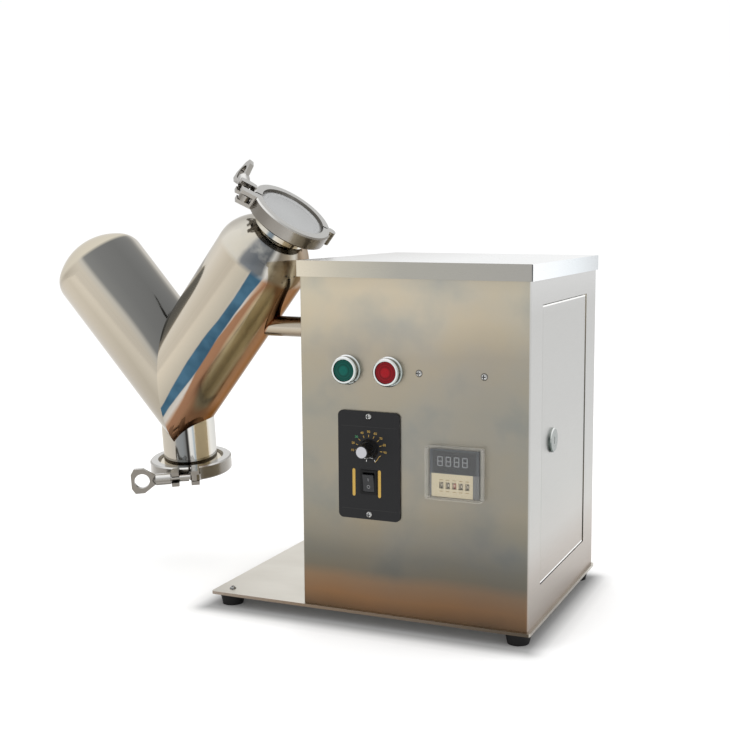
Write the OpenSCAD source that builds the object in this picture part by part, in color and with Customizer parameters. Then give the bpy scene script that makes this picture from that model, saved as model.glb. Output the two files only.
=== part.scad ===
// Tabletop V-blender. A drum of two steel legs joined in a V turns about a
// horizontal shaft. The shaft runs in a bearing housing on the left wall of a
// sheet steel cabinet, and a geared motor inside the cabinet drives it.
// X runs to the right along the front panel, Y from front to back, Z up.

/* [Cabinet] */
// Width of the cabinet over its cover
cab_w = 238; // [230:1:270]
// Depth of the cabinet over its cover
cab_d = 240; // [230:1:280]
// Height of the cabinet from the base plate to the top of the cover
cab_h = 340; // [330:1:380]
// Thickness of the cabinet's steel sheet
sheet_t = 1.5; // [1.2:0.1:2]
// Height of the cover's folded skirt
skirt_h = 15.5; // [12:0.5:20]
// Gap between the cover's skirt and the cabinet's walls
cover_gap = 1; // [0.5:0.1:1.5]
// Outer radius of the cabinet's folded corners
fold_r = 3; // [2.5:0.1:4]
// Width of the flanges folded inwards round the top and the bottom
flange_w = 26; // [24:1:30]

/* [Base plate and feet] */
// Reach of the base plate to the left of the cabinet, under the drum
plate_reach = 103; // [60:1:140]
// Thickness of the base plate
plate_t = 3; // [2:0.5:5]
// Radius of the base plate's corners
plate_corner_r = 3; // [1:0.5:6]
// Height of a rubber foot
foot_h = 12; // [8:1:18]
// Diameter of a foot at the base plate
foot_top_d = 26; // [24:1:30]
// Diameter of a foot on the bench
foot_low_d = 21; // [18:1:23]
// Distance from the base plate's edges to a foot's centre
foot_inset = 16; // [15:1:22]

/* [Door] */
// Width of the door opening
door_open_w = 160; // [140:1:170]
// Height of the door opening
door_open_h = 266; // [240:1:270]
// Height of the opening's lower edge above the base plate
door_open_z = 35; // [30:1:45]
// Gap round the door in its opening
door_gap = 0.8; // [0.6:0.1:1.2]
// Depth of the door's face below the cabinet's side
door_recess = 0.5; // [0.3:0.1:1]
// Thickness of the door's sheet
door_t = 1.2; // [1:0.1:1.5]
// Depth of the folded edges of the door and of its opening
door_fold = 9; // [8:0.5:12]
// Diameter of a door hinge pin
door_pin_d = 4; // [3:0.5:4]
// Diameter of the lock's head
lock_d = 24; // [20:1:26]
// Height of the lock's head above the door's face
lock_proud = 3; // [2:0.5:4]
// Distance from the opening's front edge to the lock's centre
lock_inset = 36; // [30:1:45]

/* [Start and stop buttons] */
// Place of the start button's centre across the panel, as a share of the cabinet's width
start_share = 0.2227; // [0.19:0.0001:0.2353]
// Distance between the start and the stop buttons
button_pitch = 43.5; // [38:0.5:46]
// Height of the row of buttons above the base plate
button_z = 236.5; // [232:0.5:250]
// Diameter of a button's chrome flange
bezel_d = 29; // [27:0.5:32]
// Diameter of a button's raised ring
bezel_ring_d = 26.5; // [25:0.5:27]
// Height of a button's ring above the panel
bezel_h = 8.5; // [7:0.5:10]
// Diameter of a button's lens
lens_d = 20.8; // [19:0.2:22]
// Travel of a pressed button
button_travel = 3; // [1:0.5:3]

/* [Speed controller] */
// Place of the controller's centre across the panel, as a share of the cabinet's width
ctl_share = 0.3193; // [0.295:0.0001:0.336]
// Height of the controller's centre above the base plate
ctl_z = 145; // [135:1:150]
// Width of the controller's face plate
ctl_w = 64.5; // [60:0.5:68]
// Height of the controller's face plate
ctl_h = 105; // [98:1:108]
// Thickness of the controller's face plate
ctl_plate_t = 2; // [1.5:0.1:3]
// Distance between the controller's two screws
ctl_screw_pitch = 95.3; // [88:0.1:97]
// Height of the knob's centre above the base plate
knob_z = 161; // [155:0.5:165]
// Diameter of the knob at the panel
knob_d = 19.5; // [17:0.5:22]
// Diameter of the knob's metal cap
knob_cap_d = 11; // [9:0.5:12]
// Height of the knob above the face plate
knob_h = 16; // [12:0.5:18]
// Height of the rocker switch's centre above the base plate
rocker_z = 129; // [125:0.5:133]
// Width of the rocker switch's housing
rocker_case_w = 17.4; // [16:0.2:20]
// Height of the rocker switch's housing
rocker_case_h = 23.3; // [22:0.1:26]
// Angle of the rocker to each side of its middle place
rocker_tilt = 8; // [5:0.5:10]

/* [Timer] */
// Place of the timer's centre across the panel, as a share of the cabinet's width
timer_share = 0.6912; // [0.655:0.0001:0.714]
// Height of the timer's centre above the base plate
timer_z = 145; // [140:0.5:150]
// Width of the timer's clear cover
timer_w = 56; // [54:0.5:60]
// Height of the timer's clear cover
timer_h = 50; // [50:0.5:56]
// Depth of the timer's clear cover
timer_cover_h = 9; // [8:0.5:12]
// Side of the timer's square case behind the panel
timer_case = 44; // [42:0.5:45]
// Depth of the timer's case behind the panel
timer_depth = 76; // [60:1:85]

/* [Drum] */
// Distance from the cabinet's left edge to the middle of the V
drum_reach = 214; // [205:1:230]
// Height of the shaft above the base plate
shaft_z = 262.7; // [255:0.1:275]
// Outer diameter of a leg
leg_d = 104; // [96:1:108]
// Wall thickness of the drum
drum_wall = 2; // [1.5:0.1:3]
// Angle of a leg to the vertical
leg_angle = 39; // [36:0.5:42]
// Distance from the shaft down to where the legs' axes meet
axis_drop = 65; // [60:1:72]
// Length of the closed leg's tube along its axis
left_len = 158; // [150:1:165]
// Length of the charging leg's tube along its axis
right_len = 179; // [172:1:186]
// Height of the closed leg's dished end
left_dome_h = 35; // [30:1:38]
// Knuckle radius of the closed leg's dished end
left_knuckle = 24; // [18:1:28]
// Height of the charging leg's dished end
right_dome_h = 47; // [44:1:49]
// Knuckle radius of the charging leg's dished end
right_knuckle = 38; // [34:1:40]
// Angle at which the drum has come to rest, with its top towards the front
drum_tilt = 5.5; // [0:0.5:12]

/* [Ports and clamps] */
// Outer diameter of the port tubes
neck_d = 60.3; // [57:0.1:61]
// Outer diameter of the ferrules' flanges
ferrule_d = 77.5; // [76:0.5:78]
// Thickness of a ferrule's rim
ferrule_rim = 2.85; // [2.5:0.05:3]
// Slope of a ferrule's back
ferrule_slope = 20; // [18:1:22]
// Thickness of a port's gasket
gasket_t = 2; // [1.5:0.1:2.5]
// Distance of the charging port's gasket from the end of the charging leg's tube
charge_rise = 57; // [55:1:62]
// Distance of the discharge port's gasket below the legs' crossing
discharge_at = 101; // [98:1:112]
// Outer diameter of a clamp
clamp_d = 92; // [90:0.5:96]
// Height of a clamp
clamp_h = 16; // [15:0.5:18]
// Diameter of a clamp's bolt
bolt_d = 6; // [5:0.5:6]
// Distance from a clamp's bolt pivot to the slotted lug's outer face
bolt_reach = 26.5; // [26:0.5:29]
// Turn of the charging clamp about its port
charge_turn = 217; // [210:1:225]
// Turn of the charging clamp's nut on its bolt
charge_nut_turn = 10; // [0:1:90]
// Turn of the discharge clamp about its port
discharge_turn = 59; // [50:1:70]

/* [Drive] */
// Diameter of the drum's shaft
shaft_d = 22; // [21:0.5:23]
// Diameter of the shaft in its bearings
journal_d = 20; // [18:0.5:20]
// Outer diameter of a shaft bearing
bearing_d = 42; // [40:0.5:44]
// Width of a shaft bearing
bearing_w = 12; // [10:0.5:13]
// Length of the bearing housing
housing_l = 38; // [34:1:42]
// Diameter of the gearhead's output shaft
output_d = 12; // [10:0.5:12]
// Side of the square gearhead
gearhead_w = 80; // [76:1:84]
// Length of the gearhead
gearhead_l = 42; // [36:1:46]
// Offset of the gearhead's output shaft above the motor's axis
output_offset = 15; // [10:0.5:18]
// Gap between the end of the motor and the door
motor_clear = 13; // [11:0.5:24]

/* [Hidden] */
$fn = 64;
small_fn = 32;
over = 1;
half = 0.5;
fit_gap = 0.05;
seat_gap = 0.02;
wall_in = sheet_t + cover_gap;
front_y = wall_in;
back_y = cab_d - wall_in;
left_x = wall_in;
right_x = cab_w - wall_in;
shell_w = right_x - left_x;
shell_d = back_y - front_y;
shell_h = cab_h - sheet_t;
door_x = right_x - door_recess;
lock_front_x = door_x + lock_proud;
part_right_x = max(cab_w, lock_front_x);
left_knuckle_r = leg_d / 2 - left_knuckle;
part_left_x = -drum_reach - left_len * sin(leg_angle) - left_knuckle_r * cos(leg_angle) - left_knuckle;
mid_x = (part_left_x + part_right_x) / 2;
bench_z = -plate_t - foot_h;
screw_d = 4;
screw_head_d = 7;
screw_head_h = 2.4;
part_back_y = cab_d + screw_head_h;
screw_hole_d = 4.4;
cross_w = 1.1;
cross_l = 4;
cross_depth = 1.4;
nut_af = 7;
nut_h = 3.2;
nut_recess_d = 12;
nut_recess_h = 6;
thread_gap = 0.02;
plate_w = plate_reach + cab_w;
foot_xs = [-plate_reach + foot_inset, cab_w - foot_inset];
foot_ys = [foot_inset, cab_d - foot_inset];
shell_screw_shares = [0.3, 0.7];
shell_screw_xs = [left_x + flange_w / 2, right_x - flange_w / 2];
shell_screw_ys = [for (share = shell_screw_shares) front_y + shell_d * share];
open_y = (cab_d - door_open_w) / 2;
shaft_y = cab_d / 2;
start_x = cab_w * start_share;
ctl_x = cab_w * ctl_share;
timer_x = cab_w * timer_share;
shaft_hole_gap = 2;
wall_hole_d = shaft_d + 2 * shaft_hole_gap;
bezel_barrel_d = 22;
hole_gap = 0.2;
bezel_hole_d = bezel_barrel_d + 2 * hole_gap;
ctl_body_w = 52;
ctl_body_h = 84;
back_fold = 12;
housing_bolt_ring = 62;
housing_bolt_turn = 45;
panel_gap = 0.1;
back_gap = 0.4;
back_screw_xs = [left_x + sheet_t + back_fold / 2, right_x - sheet_t - back_fold / 2];
back_screw_shares = [0.12, 0.5, 0.86];
back_screw_zs = [for (share = back_screw_shares) shell_h * share];
cover_screw_shares = [0.25, 0.75];
cover_screw_xs = [for (share = cover_screw_shares) cab_w * share];
cover_screw_z = cab_h - skirt_h * half;
slot_w = 46;
slot_h = 4;
slot_pitch = 10;
slot_rows = 6;
slot_columns = 2;
slot_gap = 14;
slot_low_share = 0.6;
inlet_x = 56;
inlet_z = 46;
inlet_w = 27;
inlet_h = 19.8;
inlet_l = 18;
inlet_flange_w = 50;
inlet_flange_h = 23;
inlet_flange_t = 2.5;
inlet_flange_r = 3;
inlet_screw_pitch = 40;
inlet_screw_d = 3;
inlet_screw_head_d = 5.6;
inlet_screw_head_h = 2;
socket_w = 24;
socket_h = 16.4;
socket_l = 14.5;
inlet_pin_w = 4;
inlet_pin_t = 2;
inlet_pin_l = 12;
inlet_pin_pitch = 14;
inlet_pin_rise = 2.2;
cover_corner_r = 2;
door_fold_r = 3;
door_pin_x = door_x - door_fold_r;
door_pin_y = open_y + door_open_w - door_gap - door_fold_r;
door_w = door_open_w - 2 * door_gap;
door_h = door_open_h - 2 * door_gap;
door_pin_grip = 3;
door_pin_head_d = 7;
door_pin_head_h = 1.5;
lock_y = open_y + lock_inset;
lock_z = door_open_z + door_open_h / 2;
lock_barrel_d = 18;
lock_plug_d = 12;
lock_nut_t = 4;
lock_nut_af = 22;
cam_t = 2.5;
cam_w = 14;
cam_gap = 0.5;
cam_overlap = 5;
cam_reach = lock_inset + sheet_t + cam_overlap;
key_slot_w = 1.4;
key_slot_l = 7;
key_slot_depth = 8;
lock_head_edge = 1;
bezel_flange_t = 2.5;
bezel_edge = 1;
lens_gap = 0.4;
lens_dome_h = 1.2;
lens_rest_gap = 0.3;
lens_proud = 0.4;
stem_d = 12;
stem_l = 14;
barrel_l = 20;
contact_w = 28;
contact_l = 24;
contact_slot_w = 3;
contact_slot_depth = 4;
lock_ring_t = 4;
lock_ring_af = 27;
panel_screw_share = 0.5349;
panel_screw_1 = cab_w * panel_screw_share;
panel_screw_pitch = 64.5;
panel_screw_xs = [panel_screw_1, panel_screw_1 + panel_screw_pitch];
ctl_screw_zs = [ctl_z - ctl_screw_pitch / 2, ctl_z + ctl_screw_pitch / 2];
strip_end = 8;
strip_w = panel_screw_pitch + 2 * strip_end;
strip_h = 16;
strip_l = 20;
strip_ways = 6;
strip_way_d = 6;
strip_way_depth = 8;
panel_screw_l = 12;
ctl_corner_r = 5;
knob_rest_gap = 0.4;
knob_front_y = front_y - ctl_plate_t - knob_h - knob_rest_gap;
mid_y = (knob_front_y + part_back_y) / 2;
knob_skirt_h = 4;
knob_neck_d = 16;
knob_cap_t = 0.8;
knob_top_d = 12.5;
knob_shaft_d = 6;
knob_shaft_l = 12;
flute_d = 2.4;
flutes = 10;
switch_l = 20;
switch_proud = 1;
switch_cavity_w = 12;
switch_cavity_h = 19.2;
switch_rim = 1;
switch_body_w = rocker_case_w - 2 * switch_rim;
switch_body_h = rocker_case_h - 2 * switch_rim;
switch_cavity_l = 11;
rocker_w = 11.4;
rocker_h = 17;
rocker_front = 5.4;
rocker_dip = 0.7;
rocker_back = 4;
rocker_foot_h = 8;
rocker_axle_d = 2.4;
rocker_axle_z = -1.5;
cavity_gap = 0.3;
timer_bezel_w = 49;
timer_bezel_h = 45;
timer_bezel_t = 5;
timer_bezel_r = 1.5;
display_w = 43;
display_h = 21;
display_low = 0;
display_t = 1.6;
display_gap = 0.1;
wheel_pitch = 6.45;
wheels = 5;
wheel_w = 5.1;
wheel_d = 13;
wheel_y = -11.6;
wheel_wall = 1.2;
wheel_gap = 0.5;
wheel_z = timer_bezel_t - wheel_wall - wheel_gap - wheel_d / 2;
wheel_axle_d = 2.5;
window_w = 4.2;
window_h = 6.4;
clear_t = 1.6;
clear_r = 2;
housing_x = left_x + sheet_t;
housing_d = 52;
housing_flange_d = 74;
housing_flange_t = 7;
housing_waist_d = 36;
bearing_play = 0.2;
bearing_seat_l = bearing_w + bearing_play;
seal_inner_d = 27;
seal_outer_d = 36;
seal_depth = 0.6;
drive_bolt_d = 5;
drive_bolt_hole_d = drive_bolt_d + 2 * hole_gap;
drive_bolt_head_d = 8.5;
drive_bolt_head_h = 3;
coupling_gap = 4;
coupling_l = 34;
coupling_d = 34;
coupling_x = housing_x + housing_l + coupling_gap;
stand_t = 3;
stand_x = coupling_x + coupling_l + coupling_gap;
stand_margin = 8;
stand_w = gearhead_w + 2 * stand_margin;
stand_y = shaft_y - stand_w / 2;
ctl_body_clear = 3.5;
ctl_body_l = stand_y - front_y - ctl_body_clear;
stand_foot_l = 60;
stand_fold = 12;
stand_screw_x_shares = [0.35, 0.8];
stand_screw_y_shares = [0.2, 0.8];
stand_screw_xs = [for (share = stand_screw_x_shares) stand_x + stand_foot_l * share];
stand_screw_ys = [for (share = stand_screw_y_shares) stand_y + stand_w * share];
motor_z = shaft_z - output_offset;
gearhead_x = stand_x + stand_t;
gearhead_r = 5;
pilot_d = 34;
pilot_gap = 0.1;
gearhead_bolt_pitch = 66;
gearhead_bolt_l = 20;
motor_x = gearhead_x + gearhead_l;
motor_l = door_x - door_fold - motor_clear - motor_x;
motor_d = 77;
motor_flange_t = 9;
motor_cap_l = 12;
motor_cap_d = 70;
motor_rib_t = 2;
motor_ribs = 5;
motor_rib_depth = 1.5;
capacitor_x = 34;
capacitor_back_gap = 29.5;
capacitor_w = 48;
capacitor_d = 26;
capacitor_y = back_y - capacitor_d - capacitor_back_gap;
capacitor_h = 38;
capacitor_r = 3;
tab_w = 6;
tab_t = 0.8;
tab_h = 8;
charge_at = right_len + charge_rise;
leg_r = leg_d / 2;
neck_r = neck_d / 2;
neck_in = neck_r - drum_wall;
leg_tail = leg_r / tan(leg_angle) + over;
drum_span = left_len + right_len;
stub_l = 6;
stub_end = (axis_drop + shaft_d / 2) * tan(leg_angle) + leg_r / cos(leg_angle) + stub_l;
neck_top = (leg_r - neck_r * cos(leg_angle)) / sin(leg_angle) - over;
ferrule_r = ferrule_d / 2;
rim_z = gasket_t / 2 + ferrule_rim;
slope_run = 5.5;
slope_rise = slope_run * tan(ferrule_slope);
cap_dish_r = 31;
cap_dish_depth = 1.2;
cap_dish_slope = 1.5;
clamp_r = clamp_d / 2;
lip_overlap = 1.75;
lip_r = ferrule_r - lip_overlap;
clamp_clear = 0.1;
clamp_edge = 1.5;
split_gap = 2.4;
bolt_out = 8;
bolt_x = clamp_r + bolt_out;
pivot_y = -6.5;
pivot_lug_l = 9;
slot_lug_l = 9;
lug_end = 7;
fork_gap = 7.6;
fork_web = 1;
lug_root = 3;
eye_d = 12;
eye_t = 7;
bolt_pin_d = 4.4;
hinge_pin_d = 4;
hinge_out = 1.5;
hinge_x = -clamp_r - hinge_out;
knuckle_d = 10;
knuckle_mid_h = 7.4;
knuckle_gap = 0.3;
bolt_l = 37.5;
nut_seat_gap = 0.3;
hub_d = 13;
hub_l = 17;
hub_taper_l = 4;
nut_depth = 13;
plate_from = 10;
nut_plate_t = 5;
nut_plate_w = 28;
nut_neck_w = 10.6;
nut_flare_from = 17;
nut_plate_corner = 29;
nut_plate_far = 39;
nut_plate_tip = 42.7;
nut_tip_w = 16;
nut_eye_at = 31;
nut_eye_d = 16.4;
shaft_step_gap = 0.1;

// Places the whole part on the bench with its origin under its middle
module on_bench() {
    translate([-mid_x, -mid_y, -bench_z]) children();
}

// Front panel: X along the panel, Y up, Z out of the panel
module on_front(x, z) {
    on_bench() translate([x, front_y, z]) rotate([90, 0, 0]) children();
}

// Back panel, seen from outside
module on_back(x, z) {
    on_bench() translate([x, back_y, z]) rotate([90, 0, 180]) children();
}

// Right side, seen from outside
module on_side(y, z) {
    on_bench() translate([right_x, y, z]) rotate([90, 0, 90]) children();
}

module rounded_rect(w, h, r) {
    translate([r, 0]) square([w - 2 * r, h]);
    translate([0, r]) square([w, h - 2 * r]);
    for (x = [r, w - r], y = [r, h - r]) translate([x, y]) circle(r = r);
}

module centred_rounded_rect(w, h, r) {
    translate([-w / 2, -h / 2]) rounded_rect(w, h, r);
}

module tube(r_out, r_in, h) {
    difference() {
        cylinder(r = r_out, h = h);
        translate([0, 0, -over]) cylinder(r = r_in, h = h + 2 * over);
    }
}

module nut(af, h) {
    cylinder(d = af / cos(30), h = h, $fn = 6);
}

// Domed screw head with a cross recess, standing on Z = 0
module pan_head(d, h) {
    dome_r = (d * d / 4 + h * h) / (2 * h);
    difference() {
        intersection() {
            cylinder(d = d, h = h, $fn = small_fn);
            translate([0, 0, h - dome_r]) sphere(r = dome_r, $fn = small_fn);
        }
        for (turn = [0, 90]) rotate([0, 0, turn])
            translate([-cross_l / 2, -cross_w / 2, h - cross_depth]) cube([cross_l, cross_w, h]);
    }
}

module pan_screw(head_d, head_h, shank_d, shank_l) {
    pan_head(head_d, head_h);
    translate([0, 0, -shank_l]) cylinder(d = shank_d, h = shank_l + head_h - cross_depth, $fn = small_fn);
}

// Base plate and feet

module plate_hole_places() {
    for (x = shell_screw_xs, y = shell_screw_ys) translate([x, y, 0]) children();
    for (x = stand_screw_xs, y = stand_screw_ys) translate([x, y, 0]) children();
}

module foot_places() {
    for (x = foot_xs, y = foot_ys) translate([x, y, 0]) children();
}

module base_plate() {
    color("silver") on_bench() translate([0, 0, -plate_t]) difference() {
        linear_extrude(plate_t) translate([-plate_reach, 0]) rounded_rect(plate_w, cab_d, plate_corner_r);
        translate([0, 0, -over]) {
            foot_places() cylinder(d = screw_hole_d, h = plate_t + 2 * over);
            plate_hole_places() cylinder(d = screw_hole_d, h = plate_t + 2 * over);
        }
    }
}

module rubber_feet() {
    color([0.08, 0.08, 0.08]) on_bench() translate([0, 0, bench_z]) foot_places() difference() {
        cylinder(d1 = foot_low_d, d2 = foot_top_d, h = foot_h);
        translate([0, 0, -over]) cylinder(d = nut_recess_d, h = nut_recess_h + over);
        cylinder(d = screw_d + 2 * thread_gap, h = foot_h + over);
    }
}

module base_screws() {
    foot_screw_l = plate_t + foot_h - nut_recess_h + nut_h;
    shell_screw_l = plate_t + sheet_t + nut_h;
    color("gainsboro") on_bench() {
        for (x = foot_xs, y = foot_ys) {
            seat_z = x > 0 ? sheet_t : 0;
            translate([x, y, 0]) {
                translate([0, 0, seat_z]) pan_screw(screw_head_d, screw_head_h, screw_d, foot_screw_l + seat_z);
                translate([0, 0, -foot_screw_l]) nut(nut_af, nut_h);
            }
        }
        for (x = shell_screw_xs, y = shell_screw_ys) translate([x, y, -plate_t]) rotate([180, 0, 0]) {
            pan_screw(screw_head_d, screw_head_h, screw_d, shell_screw_l);
            translate([0, 0, -shell_screw_l]) nut(nut_af, nut_h);
        }
        for (x = stand_screw_xs, y = stand_screw_ys) translate([x, y, -plate_t]) rotate([180, 0, 0]) {
            pan_screw(screw_head_d, screw_head_h, screw_d, plate_t + stand_t + nut_h);
            translate([0, 0, -plate_t - stand_t - nut_h]) nut(nut_af, nut_h);
        }
    }
}

// Cabinet shell: left, front and right walls folded from one sheet

module wall_plan(w, d, r) {
    translate([r, 0]) square([w - 2 * r, d]);
    translate([0, r]) square([w, d - r]);
    for (x = [r, w - r]) translate([x, r]) circle(r = r);
}

module housing_bolt_places() {
    for (turn = [0:90:270]) rotate([0, 0, turn + housing_bolt_turn])
        translate([housing_bolt_ring / 2, 0, 0]) children();
}

module on_shaft(x) {
    on_bench() translate([x, shaft_y, shaft_z]) rotate([0, 90, 0]) children();
}

module cabinet_shell() {
    inner_w = shell_w - 2 * sheet_t;
    color([0.78, 0.76, 0.72]) difference() {
        union() {
            on_bench() translate([left_x, front_y, 0]) {
                linear_extrude(shell_h) difference() {
                    wall_plan(shell_w, shell_d, fold_r);
                    translate([sheet_t, sheet_t]) wall_plan(inner_w, shell_d, fold_r - sheet_t);
                }
                for (z = [0, shell_h - sheet_t]) translate([0, 0, z]) linear_extrude(sheet_t) difference() {
                    wall_plan(shell_w, shell_d - sheet_t - panel_gap, fold_r);
                    translate([flange_w, flange_w]) square([shell_w - 2 * flange_w, shell_d]);
                }
                for (x = [sheet_t, shell_w - sheet_t - back_fold])
                    translate([x, shell_d - 2 * sheet_t - panel_gap, 0]) cube([back_fold, sheet_t, shell_h]);
            }
            on_side(open_y, door_open_z) translate([0, 0, -door_fold])
                linear_extrude(door_fold) difference() {
                    translate([-sheet_t, -sheet_t]) square([door_open_w + 2 * sheet_t, door_open_h + 2 * sheet_t]);
                    square([door_open_w, door_open_h]);
                }
        }
        on_side(open_y, door_open_z) translate([0, 0, -door_fold - over])
            cube([door_open_w, door_open_h, door_fold + 2 * over]);
        on_bench() for (z = [door_open_z, door_open_z + door_open_h])
            translate([door_pin_x, door_pin_y, z - 2 * sheet_t])
                cylinder(d = door_pin_d + 2 * seat_gap, h = 4 * sheet_t);
        on_bench() translate([0, 0, -over]) {
            for (x = shell_screw_xs, y = shell_screw_ys) translate([x, y, 0])
                cylinder(d = screw_hole_d, h = sheet_t + 2 * over);
            for (y = foot_ys) translate([foot_xs[1], y, 0]) cylinder(d = screw_hole_d, h = sheet_t + 2 * over);
        }
        on_shaft(left_x - over) {
            cylinder(d = wall_hole_d, h = sheet_t + 2 * over);
            housing_bolt_places() cylinder(d = drive_bolt_hole_d, h = sheet_t + 2 * over);
        }
        for (i = [0, 1]) on_front(start_x + i * button_pitch, button_z) translate([0, 0, -sheet_t - over])
            cylinder(d = bezel_hole_d, h = sheet_t + 2 * over);
        for (x = panel_screw_xs) on_front(x, button_z) translate([0, 0, -sheet_t - over])
            cylinder(d = screw_hole_d, h = sheet_t + 2 * over);
        for (z = ctl_screw_zs) on_front(ctl_x, z) translate([0, 0, -sheet_t - over])
            cylinder(d = screw_hole_d, h = sheet_t + 2 * over);
        on_front(ctl_x, ctl_z) panel_cut(ctl_body_w + 2 * hole_gap, ctl_body_h + 2 * hole_gap);
        on_front(timer_x, timer_z) panel_cut(timer_case + 2 * hole_gap, timer_case + 2 * hole_gap);
        for (x = back_screw_xs, z = back_screw_zs) on_bench()
            translate([x, back_y - 2 * sheet_t - panel_gap - over, z]) rotate([-90, 0, 0])
                cylinder(d = screw_hole_d, h = sheet_t + over + panel_gap);
    }
}

module panel_cut(w, h) {
    translate([-w / 2, -h / 2, -sheet_t - over]) cube([w, h, sheet_t + 2 * over]);
}

// Back panel with air slots, the mains inlet and the casing's screws

module slot_shape(w, h) {
    translate([h / 2, 0]) square([w - h, h]);
    for (x = [h / 2, w - h / 2]) translate([x, h / 2]) circle(d = h);
}

module back_panel() {
    w = shell_w - 2 * sheet_t - 2 * back_gap;
    h = shell_h - 2 * back_gap;
    slots_w = slot_columns * slot_w + (slot_columns - 1) * slot_gap;
    color([0.8, 0.79, 0.76]) difference() {
        on_back(cab_w / 2, 0) translate([-w / 2, back_gap, -sheet_t]) cube([w, h, sheet_t]);
        for (x = back_screw_xs, z = back_screw_zs) on_back(x, z) back_hole(screw_hole_d);
        for (x = cover_screw_xs) on_back(x, cover_screw_z) back_hole(screw_hole_d);
        for (side = [-1, 1]) on_back(inlet_x + side * inlet_screw_pitch / 2, inlet_z)
            back_hole(inlet_screw_d + 2 * hole_gap);
        on_back(inlet_x, inlet_z) panel_cut(inlet_w + 2 * hole_gap, inlet_h + 2 * hole_gap);
        on_back(cab_w / 2, shell_h * slot_low_share) for (column = [0:slot_columns - 1], row = [0:slot_rows - 1])
            translate([column * (slot_w + slot_gap) - slots_w / 2, row * slot_pitch, -sheet_t - over])
                linear_extrude(sheet_t + 2 * over) slot_shape(slot_w, slot_h);
    }
}

module back_hole(d) {
    translate([0, 0, -sheet_t - over]) cylinder(d = d, h = sheet_t + 2 * over);
}

module casing_screws() {
    back_screw_l = 2 * sheet_t + panel_gap + nut_h;
    cover_screw_l = 2 * sheet_t + cover_gap + nut_h;
    color("gainsboro") {
        for (x = back_screw_xs, z = back_screw_zs) on_back(x, z) {
            pan_screw(screw_head_d, screw_head_h, screw_d, back_screw_l);
            translate([0, 0, -back_screw_l]) nut(nut_af, nut_h);
        }
        for (x = cover_screw_xs) on_back(x, cover_screw_z) translate([0, 0, wall_in]) {
            pan_screw(screw_head_d, screw_head_h, screw_d, cover_screw_l);
            translate([0, 0, -cover_screw_l]) nut(nut_af, nut_h);
        }
        for (side = [-1, 1]) on_back(inlet_x + side * inlet_screw_pitch / 2, inlet_z)
            translate([0, 0, inlet_flange_t])
                pan_screw(inlet_screw_head_d, inlet_screw_head_h, inlet_screw_d,
                    inlet_flange_t + sheet_t + nut_h);
    }
}

module power_inlet() {
    color([0.07, 0.07, 0.07]) on_back(inlet_x, inlet_z) difference() {
        union() {
            linear_extrude(inlet_flange_t)
                centred_rounded_rect(inlet_flange_w, inlet_flange_h, inlet_flange_r);
            translate([-inlet_w / 2, -inlet_h / 2, -inlet_l]) cube([inlet_w, inlet_h, inlet_l]);
        }
        translate([-socket_w / 2, -socket_h / 2, inlet_flange_t - socket_l])
            cube([socket_w, socket_h, socket_l + over]);
        for (side = [-1, 1]) translate([side * inlet_screw_pitch / 2, 0, -over])
            cylinder(d = inlet_screw_d + 2 * hole_gap, h = inlet_flange_t + 2 * over);
    }
}

module inlet_pins() {
    color("goldenrod") on_back(inlet_x, inlet_z)
        for (place = [[-inlet_pin_pitch / 2, -inlet_pin_rise], [inlet_pin_pitch / 2, -inlet_pin_rise],
                [0, inlet_pin_rise]])
            translate([place[0] - inlet_pin_t / 2, place[1] - inlet_pin_w / 2, inlet_flange_t - socket_l])
                cube([inlet_pin_t, inlet_pin_w, inlet_pin_l]);
}

// Top cover: a tray with a folded skirt that rests on the shell's top flanges

module top_cover() {
    color([0.8, 0.78, 0.74]) difference() {
        on_bench() translate([0, 0, cab_h - skirt_h]) difference() {
            linear_extrude(skirt_h) rounded_rect(cab_w, cab_d, cover_corner_r);
            translate([sheet_t, sheet_t, -over]) linear_extrude(skirt_h - sheet_t + over)
                rounded_rect(cab_w - 2 * sheet_t, cab_d - 2 * sheet_t, cover_corner_r - sheet_t);
        }
        for (x = cover_screw_xs) on_back(x, cover_screw_z) translate([0, 0, wall_in - sheet_t - over])
            cylinder(d = screw_hole_d, h = sheet_t + 2 * over);
    }
}

// Door: a folded pan that turns on two pins at its rear edge

// Plan of the door seen from above, its outer face towards +X
module door_plan(depth, width, r) {
    translate([0, 0]) square([depth - r, width]);
    translate([0, r]) square([depth, width - 2 * r]);
    for (y = [r, width - r]) translate([depth - r, y]) circle(r = r);
}

module side_door() {
    color([0.8, 0.8, 0.79]) difference() {
        on_bench() translate([door_x - door_fold, open_y + door_gap, door_open_z + door_gap]) difference() {
            linear_extrude(door_h) door_plan(door_fold, door_w, door_fold_r);
            translate([-over, door_t, door_t]) linear_extrude(door_h - 2 * door_t)
                door_plan(door_fold - door_t + over, door_w - 2 * door_t, door_fold_r - door_t);
        }
        on_bench() translate([door_pin_x, door_pin_y, door_open_z])
            cylinder(d = door_pin_d + 2 * fit_gap, h = door_open_h);
        on_lock() translate([0, 0, -door_t - over])
            cylinder(d = lock_barrel_d + 2 * seat_gap, h = door_t + 2 * over);
    }
}

module door_hinge_pins() {
    pin_l = sheet_t + door_gap + door_t + door_pin_grip;
    flat_x = right_x - sheet_t - panel_gap - door_pin_x;
    color("silver") on_bench() translate([door_pin_x, door_pin_y, 0]) {
        for (end = [0, 1]) translate([0, 0, door_open_z + end * door_open_h]) mirror([0, 0, end])
            translate([0, 0, -sheet_t]) {
                cylinder(d = door_pin_d, h = pin_l);
                translate([0, 0, -door_pin_head_h]) intersection() {
                    cylinder(d = door_pin_head_d, h = door_pin_head_h);
                    translate([flat_x - door_pin_head_d, -door_pin_head_d / 2, 0])
                        cube([door_pin_head_d, door_pin_head_d, door_pin_head_h]);
                }
            }
    }
}

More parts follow.
